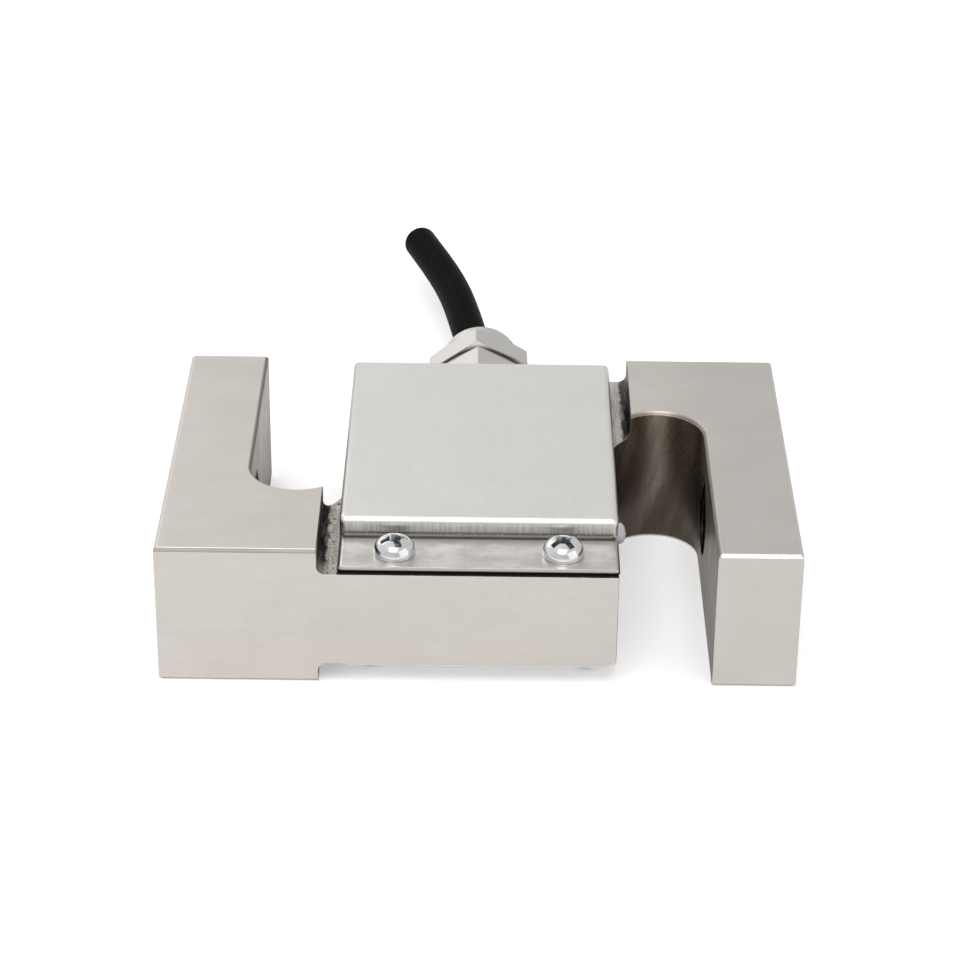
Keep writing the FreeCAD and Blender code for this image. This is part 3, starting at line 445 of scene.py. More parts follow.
@dataclass(frozen=True)
class Finish:
    """A finish: builds one material. Sub-classes paint the surface.

    Args:
        name: name of the material.
        roughness: the even part of its roughness.
    """

    name: str
    roughness: float = 0.4

    def build(self, effects: Effects) -> Material:
        """Make the material.

        Args:
            effects: the shared groups.

        Returns:
            The material.
        """
        material = bpy.data.materials.new(self.name)
        look = Look(material, effects)
        look.dress("Roughness", self.roughness)
        self.paint(look)
        return material

    def paint(self, look: Look) -> None:
        """Feed the shader's sockets."""
        raise NotImplementedError


@dataclass(frozen=True)
class NickelBlock(Finish):
    """Satin nickel plate over the milled block, bare and stained in the slots and recesses, with painted
    shade there and along some broken edges.
    """

    edge_round: float = 0.14

    def paint(self, look: Look) -> None:
        """Pale plated faces, dark machined slot walls and stained recesses with painted shade, by place on
        the block.

        Args:
            look: the material in the making.
        """
        look.dress("Metallic", 1.0)
        x, y, z = look.parts
        across = look.size(x)
        right = look.above(x, 0.0)

        # Both slots are one when the left half is turned half round about the upright axis
        along = look.times(y, look.math("SIGN", x))
        reach = look.larger(look.minus(along, SLOT_END_Y), 0.0)
        radius = look.distance(look.minus(across, SLOT_X), reach)
        wall = look.size(look.minus(radius, SLOT_RADIUS))
        in_slot = look.below(wall, NEAR)

        # Recesses: the lower one is shorter on the right
        shorter = look.times(look.below(z, AXIS_Z), right)
        to_wall = look.minus(look.less(RECESS_HALF, shorter, RECESS_HALF - UNDER_RIGHT), across)
        at_floor = look.larger(look.above(z, RECESS_FLOOR - NEAR), look.below(z, UNDER_FLOOR + NEAR))
        within = look.below(look.size(y), HALF_DEPTH - 0.02)
        in_recess = look.times(at_floor, look.above(to_wall, -NEAR), within)

        plated, tone = self._plated(look, wall)
        bare, streak, grit = self._bare(look, across)
        colour = look.mix(in_recess, plated, self._corner(look, across, right, to_wall))
        colour = look.mix(in_slot, colour, bare)
        # Painted shade round the mouth of each load bore
        from_axis = look.distance(y, look.minus(z, AXIS_Z))
        mouth_shade = look.times(in_slot, look.ramp(from_axis, BORE_RADIUS + 0.30, BORE_RADIUS + 0.12))
        look.dress("Base Color", look.mix(mouth_shade, colour, Colour.STAIN_BLACK))
        change = look.weighted((tone, 0.10), (in_slot, -0.06))
        look.dress("Roughness", look.plus(self.roughness - 0.05, change))
        height = look.weighted((grit, 0.6), (streak, 0.4))
        height = look.times(height, look.plus(0.25, look.times(in_slot, 0.9)))
        look.bump(height, 0.02, self.edge_round)

    @staticmethod
    def _plated(look: Look, wall: Socket) -> tuple[Socket, Socket]:
        """Cloudy plate with a few pits, with painted shade towards the right arm and along the broken
        edges.

        Args:
            look: the material in the making.
            wall: distance to the nearer slot's wall.

        Returns:
            Its colour and its tone.
        """
        x, y, z = look.parts
        tone = look.weighted((look.cloud(0.16, 1.6), 0.7), (look.marks((0.12, 1.0, 1.0), 5.0, 1.4)[0], 0.3))
        plated = look.mix(tone, Colour.NICKEL_SHADE, Colour.NICKEL)
        # Painted shade: darker towards the right arm
        plated = look.mix(look.ramp(x, 22.0, 32.0, 0.0, 0.24), plated, Colour.NICKEL_RIGHT_SHADE)
        plated = look.mix(look.times(look.dots(0.55, 0.075, 0.25), 0.10), plated, Colour.STAIN_AND_SHADE)
        # Painted shade on the broken edges by the slots, in the slot wall's colour
        high = look.above(z, BLOCK_TOP - 0.42)
        slot_edge_shade = look.times(look.ramp(wall, 0.44, 0.16, 0.30, 0.97), high, look.below(wall, 0.43))
        plated = look.mix(slot_edge_shade, plated, Colour.SLOT_WALL)
        # Painted shade on the broken edge along the left arm's front
        front = look.times(look.below(y, 0.35 - HALF_DEPTH), look.below(x, 0.0), high, 0.74)
        return look.mix(front, plated, Colour.STAIN_AND_SHADE), tone

    @staticmethod
    def _bare(look: Look, across: Socket) -> tuple[Socket, Socket, Socket]:
        """Milled slot walls: upright cutter marks under wide slanting clouds, with painted shade low down.

        Args:
            look: the material in the making.
            across: distance from the middle plane.

        Returns:
            The colour, the streaks and the grit.
        """
        _, y, z = look.parts
        slant = look.add("CombineXYZ", {0: look.plus(across, look.times(z, -0.28)), 1: y, 2: z})
        drift = look.stretch(slant.outputs[0], (0.42, 0.30, 0.07), (1.7, 0.0, 0.4))
        swirl = look.noise(drift, 0.9, 3.0, 0.55)
        streak = look.texture(1.2, 3.0, 0.6, (2.4, 2.4, 0.12))
        grit = look.texture(3.2, 4.0, 0.7)
        tone = look.weighted((swirl, 0.66), (streak, 0.12), (grit, 0.22))
        bare = look.mix(look.ramp(tone, 0.40, 0.66), Colour.SLOT_WALL, Colour.SLOT_PALE)
        flecks = look.ramp(look.texture(2.4, 4.0, 0.75), 0.42, 0.62)
        patch = look.times(look.ramp(across, 22.5, 26.0), look.ramp(z, 8.0, 14.5), flecks, 0.75)
        bare = look.mix(patch, bare, Colour.SLOT_FLECK)
        # Painted shade: the slot walls darker low down
        return look.mix(look.ramp(z, 14.0, 1.0, 0.0, 0.72), bare, Colour.STAIN_AND_SHADE), streak, grit

    @staticmethod
    def _corner(look: Look, across: Socket, right: Socket, to_wall: Socket) -> Socket:
        """Recess corners: dark by the wall, partly stain and partly painted shade, with spatters over the
        milled floor, fewer on the right, and a painted shadow under the top cover's flange.

        Args:
            look: the material in the making.
            across: distance from the middle plane.
            right: 1 on the right half.
            to_wall: distance to the recess wall.

        Returns:
            The colour.
        """
        y = look.parts[1]
        lines = look.texture(1.3, 3.0, 0.6, (1.9, 0.16, 1.0))
        corner = look.mix(look.ramp(lines, 0.28, 0.60), Colour.SLOT_PALE, Colour.NICKEL_SHADE)
        rust = look.times(look.dots(0.8, 0.24, 0.30), look.less(0.8, right, 0.7))
        corner = look.mix(rust, corner, Colour.RUST)
        # Dark by the wall: partly stain, partly painted shade in the fillet
        blot = look.minus(look.texture(0.8, 4.0, 0.65), 0.5)
        ragged = look.minus(to_wall, look.times(blot, look.less(1.7, right, 0.9)))
        worn = look.ramp(look.texture(1.1, 4.0, 0.65, (1.5, 0.22, 1.5)), 0.46, 0.66)
        by_front = look.ramp(y, 0.6 - HALF_DEPTH, 3.6 - HALF_DEPTH, 0.5, 1.0)
        stain = look.times(look.ramp(ragged, 1.25, 0.75), look.less(1.0, worn, 0.4), by_front)
        spatter = look.times(look.dots(1.5, 0.20, 0.45), look.less(0.85, right, 0.6))
        pepper = look.ramp(look.texture(3.6, 4.0, 0.75), 0.50, 0.41)
        pepper = look.times(pepper, look.less(0.50, right, 0.44))
        dark = look.larger(stain, look.larger(spatter, pepper))
        corner = look.mix(dark, corner, Colour.STAIN_BLACK)
        # Painted shadow on the recess floor under the front edge of the top cover's flange
        lip_shadow = look.times(look.below(y, COVER_FRONT + 0.2), look.below(across, COVER_HALF), 0.9)
        return look.mix(lip_shadow, corner, Colour.STAIN_AND_SHADE)


@dataclass(frozen=True)
class StainlessSheet(Finish):
    """Brushed stainless sheet of the covers: pale plate, drawn bend with a painted highlight, smudged
    flange with painted shade and shadows.
    """

    edge_round: float = 0.10

    def paint(self, look: Look) -> None:
        """Fine grain everywhere, upright drawing marks on the step, smudges on the flange, painted
        highlights and painted shade.

        Args:
            look: the material in the making.
        """
        look.dress("Metallic", 1.0)
        x, y, z = look.parts
        marks, grain = look.marks((1.0, 0.16, 1.0), 7.0, 1.6)
        tone = look.weighted((marks, 0.35), (look.cloud(0.11, 1.4), 0.65))
        pale = look.mix(tone, scaled(Colour.SHEET, 0.93), Colour.SHEET)

        # Step: drawn sheet between the flange and the bend of the plate
        drawn = look.ramp(look.texture(1.9, 4.0, 0.65, (3.2, 0.5, 0.10)), 0.25, 0.75)
        step = look.times(look.below(y, RISER_Y + 0.35), look.above(z, FLANGE_TOP + 0.10),
                          look.ramp(z, COVER_TOP - 0.05, COVER_TOP - 0.55))
        colour = look.mix(step, pale, look.mix(drawn, Colour.DRAWN, Colour.DRAWN_PALE))
        # Painted highlight along the bend at the top of the step
        bend = look.times(look.ramp(y, RISER_Y + 1.0, RISER_Y + 0.7),
                          look.ramp(z, PLATE_UNDER, PLATE_UNDER + 0.30))
        colour = look.mix(bend, colour, Colour.BEND_HIGHLIGHT)

        # Flange: smudged, with painted shade by the step
        on_top = look.above(z, AXIS_Z)
        smudge = look.ramp(look.texture(1.1, 4.0, 0.62, (0.32, 0.5, 0.5)), 0.34, 0.68)
        flat = look.mix(smudge, Colour.SHEET_SHADE, Colour.SHEET_BRIGHT)
        step_shade = look.ramp(y, RISER_Y - 0.4, RISER_Y - 2.4)
        flat = look.mix(step_shade, scaled(Colour.SHEET_SHADE, 0.72), flat)
        flange = look.times(look.below(y, RISER_Y - 0.25), on_top, look.below(z, PLATE_UNDER + 0.05))
        colour = look.mix(flange, colour, flat)

        # Painted shade along the left side of the plate
        side = look.times(look.ramp(x, 0.75 - COVER_HALF, 0.45 - COVER_HALF),
                          look.ramp(z, PLATE_UNDER + 0.15, PLATE_UNDER + 0.45), look.minus(1.0, bend), 0.62)
        colour = look.mix(side, colour, Colour.SIDE_SHADE)

        # Foot of the step: a painted shadow in the crease, with painted glints
        step_side = look.times(look.below(y, RISER_Y + 0.02), on_top)
        crease_shadow = look.times(look.ramp(y, RISER_Y - 0.95, RISER_Y - 0.55),
                          look.ramp(z, FLANGE_TOP + 0.60, FLANGE_TOP + 0.35), step_side)
        shadow_depth = look.ramp(z, FLANGE_TOP + 0.08, FLANGE_TOP + 0.22)
        colour = look.mix(crease_shadow, colour, look.mix(shadow_depth, Colour.CREASE_SHADOW, Colour.CREASE_HALF_SHADOW))
        glint_noise = look.ramp(look.texture(3.4, 3.0, 0.7), 0.56, 0.64)
        glints = look.times(glint_noise, crease_shadow, look.ramp(z, FLANGE_TOP + 0.10, FLANGE_TOP + 0.25))
        colour = look.mix(glints, colour, Colour.SHEET)

        # Cut edge of the flange, over a painted shadow in the gap beneath it
        edge = look.times(step_side, look.below(z, FLANGE_TOP - 0.06))
        cut = look.times(edge, look.ramp(z, RECESS_FLOOR + 0.20, RECESS_FLOOR + 0.40))
        colour = look.mix(cut, colour, Colour.CUT_EDGE)
        seam_shadow = look.times(edge, look.ramp(z, RECESS_FLOOR + 0.42, RECESS_FLOOR + 0.28))
        look.dress("Base Color", look.mix(seam_shadow, colour, Colour.SEAM_SHADOW))
        look.dress("Roughness", look.plus(self.roughness - 0.04, look.times(tone, 0.08)))
        look.bump(grain, 0.012, self.edge_round)


@dataclass(frozen=True)
class PlainMetal(Finish):
    """A small turned or plated metal piece, with cloudy tone and fine marks."""

    colour: Triple = Colour.ZINC
    shade: float = 0.85
    marks_along: Axis = Axis.Y
    edge_round: float = 0.08
    wear: float = 0.012
    gap_shade: Optional[tuple[float, float]] = None

    def paint(self, look: Look) -> None:
        """One plated colour whose tone and gloss change a little over the surface.

        Args:
            look: the material in the making.
        """
        look.dress("Metallic", 1.0)
        squeeze = [1.0, 1.0, 1.0]
        squeeze[self.marks_along.value] = 0.2
        marks, grain = look.marks(squeeze, 6.0, 2.0)
        cloud = look.cloud(0.5, 1.3)
        tone = look.weighted((marks, 0.3), (cloud, 0.7))
        colour = look.mix(tone, scaled(self.colour, self.shade), self.colour)
        # Painted shade in the gap between two parts
        if self.gap_shade is not None:
            y = look.parts[1]
            start, end = self.gap_shade
            near = look.times(look.ramp(y, start - 0.3, start), look.ramp(y, end + 0.3, end), 0.85)
            colour = look.mix(near, colour, Colour.GAP_SHADE)
        # Painted shade in recesses, deeper is darker
        sunk = look.add("Attribute", attribute_name="sunk").outputs["Fac"]
        look.dress("Base Color", look.mix(look.times(sunk, 0.80), colour, Colour.RECESS_SHADE))
        look.dress("Roughness", look.plus(self.roughness - 0.04, look.times(cloud, 0.08)))
        look.bump(grain, self.wear, self.edge_round, 4)


@dataclass(frozen=True)
class PlainCoat(Finish):
    """Plastic, rubber or varnish: an even colour with faint clouds and a fine skin."""

    colour: Triple = Colour.FIBRE
    pale: float = 1.25
    skin: float = 0.02

    def paint(self, look: Look) -> None:
        """Cloudy tone and a fine pebbled skin.

        Args:
            look: the material in the making.
        """
        cloud = look.cloud(0.7, 1.5)
        look.dress("Base Color", look.mix(cloud, self.colour, scaled(self.colour, self.pale)))
        look.dress("Roughness", look.plus(self.roughness - 0.05, look.times(cloud, 0.1)))
        look.bump(look.texture(4.0, 3.0, 0.6), self.skin)


@dataclass(frozen=True)
class CableJacket(Finish):
    """Black extruded jacket: faint lengthwise draw marks and dust over a satin skin."""

    gleam: float = 0.009

    def paint(self, look: Look) -> None:
        """Near black with paler dust clouds, drawn along the cable.

        Args:
            look: the material in the making.
        """
        marks, grain = look.marks((1.0, 0.22, 1.0), 5.0, 1.5)
        cloud = look.cloud(0.35, 1.8)
        dust = look.times(cloud, look.plus(0.5, look.times(marks, 0.5)))
        look.dress("Base Color", look.mix(dust, Colour.JACKET, Colour.JACKET_PALE))
        look.dress("Roughness", look.plus(self.roughness - 0.05, look.times(cloud, 0.12)))
        look.dress("Specular IOR Level", self.gleam)
        look.bump(grain, 0.03)


@dataclass(frozen=True)
class Braid(Finish):
    """Tinned braid: two crossing sets of strands."""

    starts: float = 8.0
    pitch: float = 0.5

    def paint(self, look: Look) -> None:
        """Dark gaps between crossing strands, worked out from the place round and along the cable.

        Args:
            look: the material in the making.
        """
        look.dress("Metallic", 1.0)
        x, y, z = look.split(look.stretch(look.place, (1.0, 1.0, 1.0), (-GLAND_X, 0.0, -AXIS_Z)))
        turn = look.math("ARCTAN2", z, x)
        waves = []
        for sign in (-1.0, 1.0):
            lead = look.weighted((turn, sign * self.starts), (y, math.tau * self.pitch))
            waves.append(look.size(look.math("SINE", lead)))
        weave = look.larger(*waves)
        look.dress("Base Color", look.mix(look.ramp(weave, 0.45, 0.9), Colour.BRAID_GAP, Colour.BRAID))
        look.bump(weave, 0.05)


# Objects and meshes


def add_object(name: str, data: bpy.types.ID) -> bpy.types.Object:
    """Put a new object in the scene.

    Args:
        name: its name.
        data: its mesh, curve, lamp or camera.

    Returns:
        The object, at the origin.
    """
    item = bpy.data.objects.new(name, data)
    bpy.context.scene.collection.objects.link(item)
    return item


def grid_faces(rows: int, columns: int, close_rows: bool = False) -> np.ndarray:
    """Four-cornered faces of a grid of points whose last column joins its first.

    Args:
        rows: points along the first parameter.
        columns: points along the second parameter.
        close_rows: whether the last row joins the first too.

    Returns:
        Corner numbers, one face a line.
    """
    row = np.arange(rows if close_rows else rows - 1)[:, None]
    column = np.arange(columns)[None, :]
    next_row, next_column = (row + 1) % rows, (column + 1) % columns
    corners = (
        row * columns + column,
        row * columns + next_column,
        next_row * columns + next_column,
        next_row * columns + column,
    )
    return np.stack(corners, axis=-1).reshape(-1, 4)


def make_piece(name: str, points: np.ndarray, faces: np.ndarray, material: Material,
               smooth_angle: float = 35.0, sunk: Optional[np.ndarray] = None) -> bpy.types.Object:
    """A new piece from points in millimetres: doubles merged, faces turned outwards, shaded smooth.

    Args:
        name: name of the piece.
        points: corners, X, Y and Z along the last axis.
        faces: corner numbers of the faces.
        material: its finish.
        smooth_angle: edges sharper than this many degrees stay crisp.
        sunk: how deep each point lies in a recess, from 0 to 1, for finishes that paint shade there.

    Returns:
        The piece, riding on the one body.
    """
    mesh = bpy.data.meshes.new(name)
    mesh.from_pydata((points.reshape(-1, 3) * MM).tolist(), [], faces.tolist())
    if sunk is not None:
        attribute = mesh.attributes.new("sunk", "FLOAT", "POINT")
        attribute.data.foreach_set("value", sunk.ravel().astype(np.float32))
    shell = bmesh.new()
    shell.from_mesh(mesh)
    bmesh.ops.remove_doubles(shell, verts=shell.verts, dist=1e-7)
    bmesh.ops.recalc_face_normals(shell, faces=shell.faces)
    shell.to_mesh(mesh)
    shell.free()
    mesh.set_sharp_from_angle(angle=math.radians(smooth_angle))
    mesh.polygons.foreach_set("use_smooth", np.ones(len(mesh.polygons), bool))
    mesh.materials.append(material)
    piece = add_object(name, mesh)
    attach(piece, BODY)
    log.info("%s: %d faces", name, len(mesh.polygons))
    return piece


def full_turn(steps: int) -> np.ndarray:
    """Even angles of one full turn, without the one that closes it."""
    return np.linspace(0.0, math.tau, steps, endpoint=False)


def triangle_wave(phase: np.ndarray) -> np.ndarray:
    """From 0 at whole numbers up to 1 half way between them, in straight lines."""
    return 1.0 - np.abs(2.0 * (phase - np.floor(phase)) - 1.0)


def smooth_step(value: np.ndarray, low: float, high: float) -> np.ndarray:
    """0 up to low and 1 from high on, with an S curve between them."""
    share = np.clip((value - low) / (high - low), 0.0, 1.0)
    return share * share * (3.0 - 2.0 * share)


# Camera and studio


@dataclass
class PhotoCamera:
    """The camera at the photograph's viewing angle, in metres and degrees."""

    place: Triple = (0.00067149, -0.32854599, 0.19516533)
    elevation: float = 28.894088
    azimuth: float = 0.114825
    roll: float = 0.642867
    lens_mm: float = 112.639
    sensor_mm: float = 36.0

    def build(self) -> None:
        """Make it the scene's camera: its back axis by azimuth and elevation, then rolled about it."""
        turn, rise, lean = (math.radians(v) for v in (self.azimuth, self.elevation, self.roll))
        back = Vector((math.sin(turn) * math.cos(rise), -math.cos(turn) * math.cos(rise), math.sin(rise)))
        right = Vector((math.cos(turn), math.sin(turn), 0.0))
        up = back.cross(right)
        rolled_right = right * math.cos(lean) + up * math.sin(lean)
        rolled_up = up * math.cos(lean) - right * math.sin(lean)
        data = bpy.data.cameras.new("camera")
        data.lens = self.lens_mm
        data.sensor_width = self.sensor_mm
        data.clip_start = 0.01
        data.clip_end = 50.0
        camera = add_object("camera", data)
        axes = Matrix((rolled_right, rolled_up, back)).transposed()
        camera.matrix_world = Matrix.Translation(self.place) @ axes.to_4x4()
        bpy.context.scene.camera = camera


@dataclass
class Lamp:
    """A square soft light that is aimed at the origin, in metres and watts."""

    name: str
    place: Triple
    width: float
    power: float

    def build(self) -> None:
        """Hang it and turn it to the origin."""
        data = bpy.data.lights.new(self.name, "AREA")
        data.shape = "SQUARE"
        data.size = self.width
        data.energy = self.power
        lamp = add_object(self.name, data)
        lamp.location = self.place
        lamp.rotation_euler = (-Vector(self.place)).to_track_quat("-Z", "Y").to_euler()


@dataclass
class Studio:
    """A plain pale floor under soft light, with a white surround."""

    floor_half: float = 4.0
    ambient: float = 0.52
    front_share: float = 0.62
    back_share: float = 0.75
    side_fall: float = 0.50
    lamps: tuple = (
        Lamp("key_light", (-0.06, -0.36, 0.78), 0.50, 3.1),
        Lamp("fill_light", (0.65, -0.42, 0.36), 0.80, 1.2),
        Lamp("back_light", (-0.45, 0.60, 0.50), 0.45, 1.1),
    )

    def build(self) -> None:
        """Set the view, the surround, the floor and the lamps."""
        bpy.context.scene.view_settings.view_transform = "Standard"
        self._surround()
        self._floor()
        for lamp in self.lamps:
            lamp.build()

    def _surround(self) -> None:
        """White to the camera; for reflections white behind the part, dimmer on the camera's side."""
        world = bpy.data.worlds.new("studio")
        bpy.context.scene.world = world
        world.use_nodes = True
        graph = Graph(world.node_tree)
        graph.nodes.clear()
        rays = graph.add("LightPath").outputs
        shown = graph.larger(rays["Is Camera Ray"], rays["Is Transmission Ray"])
        across, depth, _ = graph.split(graph.add("TexCoord").outputs["Generated"])
        tilt = graph.math("MINIMUM", graph.less(1.0, across, self.side_fall), 1.08)
        mirrored = graph.ramp(depth, -0.75, 0.15, self.front_share, self.back_share)
        mirrored = graph.times(mirrored, graph.larger(tilt, 0.90))
        level = {0: rays["Is Glossy Ray"], 2: self.ambient, 3: mirrored}
        strength = graph.larger(graph.add("Mix", level, data_type="FLOAT").outputs[0], shown)
        background = graph.add("Background", {"Color": (1.0, 1.0, 1.0), "Strength": strength})
        graph.add("OutputWorld", {"Surface": background.outputs[0]})

    def _floor(self) -> None:
        """A pale floor that shows white where no shadow falls."""
        half, level = self.floor_half, -0.01 * MM
        mesh = bpy.data.meshes.new("floor")
        corners = [(-half, -half, level), (half, -half, level), (half, half, level), (-half, half, level)]
        mesh.from_pydata(corners, [], [(0, 1, 2, 3)])
        floor = add_object("floor", mesh)
        material = bpy.data.materials.new("pale_floor")
        material.use_nodes = True
        graph = Graph(material.node_tree)
        graph.nodes.clear()
        cloth = graph.add("BsdfDiffuse", {"Color": Colour.FLOOR})
        rays = graph.add("LightPath").outputs
        seen = graph.larger(rays["Is Camera Ray"], rays["Is Glossy Ray"])
        glow = graph.times(rays["Is Camera Ray"], 0.36)
        lift = graph.add("Emission", {"Strength": graph.larger(glow, graph.times(seen, 0.12))})
        both = graph.add("AddShader", {0: cloth.outputs[0], 1: lift.outputs[0]})
        graph.add("OutputMaterial", {"Surface": both.outputs[0]})
        mesh.materials.append(material)


# Pieces


@dataclass
class Cable:
    """The free cable: jacket along its route, and the cut strands of its four cores."""

    diameter: float = 4.8
    wall: float = 0.6
    end_round: float = 0.12
    core_offset: float = 0.68
    strand_radius: float = 0.12
    around: int = 48
    stations: int = 150
    route: tuple = (
        (-0.15, 39.10, 9.10),
        (-0.15, 42.10, 9.10),
        (-1.40, 48.50, 9.05),
        (-2.60, 57.00, 8.85),
        (-4.10, 66.00, 8.50),
        (-6.50, 75.50, 8.05),
        (-9.55, 85.50, 7.50),
    )

    def line(self) -> np.ndarray:
        """The route's own spline.

        Returns:
            Its points in millimetres, one a line.
        """
        data = bpy.data.curves.new("cable_route", "CURVE")
        data.dimensions = "3D"
        data.resolution_u = 24
        spline = data.splines.new("NURBS")
        spline.points.add(len(self.route) - 1)
        for point, place in zip(spline.points, self.route):
            point.co = (*(part * MM for part in place), 1.0)
        spline.order_u = 3
        spline.use_endpoint_u = True
        holder = add_object("cable_route", data)
        bpy.context.view_layer.update()
        mesh = bpy.data.meshes.new_from_object(holder)
        points = np.zeros(len(mesh.vertices) * 3)
        mesh.vertices.foreach_get("co", points)
        bpy.data.objects.remove(holder)
        bpy.data.meshes.remove(mesh)
        return points.reshape(-1, 3) / MM

    def build(self, jacket: Material, copper: Material) -> None:
        """Carry the jacket's section along the route.

        The section is a list of pairs of distance along and radius: out along the outside, round the
        cut edge, and back along the bore. Each pair is turned about the route's direction.

        Args:
            jacket: finish of the jacket.
            copper: finish of the strands.
        """
        line = self.line()
        steps = np.linalg.norm(np.diff(line, axis=0), axis=1)
        line = line[np.concatenate(([True], steps > 1e-6))]
        steps = np.linalg.norm(np.diff(line, axis=0), axis=1)
        along = np.concatenate(([0.0], np.cumsum(steps)))
        length = along[-1]
        outer = self.diameter / 2
        bore = outer - self.wall
        bend = np.linspace(0.0, math.pi / 2, 5)
        rim_s = length - self.end_round * (1.0 - np.sin(bend))
        rim_r = outer - self.end_round * (1.0 - np.cos(bend))
        straight = np.linspace(0.0, length - self.end_round, self.stations)
        distance = np.concatenate((straight, rim_s[1:], [length], straight[::-1]))
        radius = np.concatenate((np.full(self.stations, outer), rim_r[1:], [bore],
                                 np.full(self.stations, bore)))

        place, heading, sideways, upwards = self._frame(line, along, distance)
        turn = full_turn(self.around)
        out = (sideways[:, None, :] * np.cos(turn)[None, :, None]
               + upwards[:, None, :] * np.sin(turn)[None, :, None])
        points = place[:, None, :] + out * radius[:, None, None]
        faces = grid_faces(len(distance), self.around, True)
        piece = make_piece("cable_jacket_free", points, faces, jacket)
        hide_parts("cable_jacket")
        cut = len(straight) + len(bend) - 1
        strands = self._strands(place[cut], heading[cut], sideways[cut], upwards[cut], copper)

    @staticmethod
    def _frame(line: np.ndarray, along: np.ndarray, distance: np.ndarray
               ) -> tuple[np.ndarray, np.ndarray, np.ndarray, np.ndarray]:
        """Directions along the line.

        Args:
            line: its points.
            along: distance of each point from its start.
            distance: distances that are asked for.

        Returns:
            Place, heading, level sideways direction and the one square to both, one a line.
        """
        slope = np.gradient(line, along, axis=0)
        place = np.stack([np.interp(distance, along, line[:, axis]) for axis in range(3)], axis=1)
        heading = np.stack([np.interp(distance, along, slope[:, axis]) for axis in range(3)], axis=1)
        heading /= np.linalg.norm(heading, axis=1, keepdims=True)
        sideways = np.cross(heading, np.array([0.0, 0.0, 1.0]))
        sideways /= np.linalg.norm(sideways, axis=1, keepdims=True)
        return place, heading, sideways, np.cross(sideways, heading)

    def _strands(self, end: np.ndarray, heading: np.ndarray, sideways: np.ndarray, upwards: np.ndarray,
                 copper: Material) -> bpy.types.Object:
        """Seven cut strands in each core: one in the middle and six round it, each a low dome.

        Args:
            end: middle of the cable's cut.
            heading: direction of the cable there.
            sideways: level direction square to it.
            upwards: direction square to both.
            copper: finish of the strands.

        Returns:
            The strands, as one piece.
        """
        six, twelve = (np.stack((np.cos(a), np.sin(a)), axis=1) for a in (full_turn(6), full_turn(12)))
        spots = np.concatenate(([[0.0, 0.0]], six * 2.05 * self.strand_radius))
        cores = np.array([(a, b) for a in (-1, 1) for b in (-1, 1)]) * self.core_offset
        middles = (cores[:, None, :] + spots[None, :, :]).reshape(-1, 2)
        rise = np.array([-0.30, 0.010, 0.022, 0.026])
        size = np.array([1.0, 1.0, 0.6, 0.0]) * self.strand_radius
        flat = middles[:, None, None, :] + (size[:, None, None] * twelve[None])[None]
        points = (end + flat[..., :1] * sideways + flat[..., 1:] * upwards
                  + rise[None, :, None, None] * heading)
        one = grid_faces(len(rise), len(twelve))
        first = np.arange(len(middles)) * len(rise) * len(twelve)
        faces = (one[None] + first[:, None, None]).reshape(-1, 4)
        return make_piece("cable_strands", points, faces, copper)


@dataclass(frozen=True)
class ScrewSize:
    """Sizes of a pan head screw in millimetres, and steps round it and across its head."""

    head_radius: float
    head_height: float
    thread_radius: float
    length: float
    pitch: float
    recess_reach: float
    around: int
    across: int


TOP_SCREW = ScrewSize(head_radius=2.5, head_height=2.0, thread_radius=1.25, length=5.0, pitch=0.45,
                      recess_reach=1.75, around=192, across=60)
BOTTOM_SCREW = ScrewSize(head_radius=2.0, head_height=1.4, thread_radius=1.0, length=4.0, pitch=0.4,
                         recess_reach=1.0, around=120, across=40)


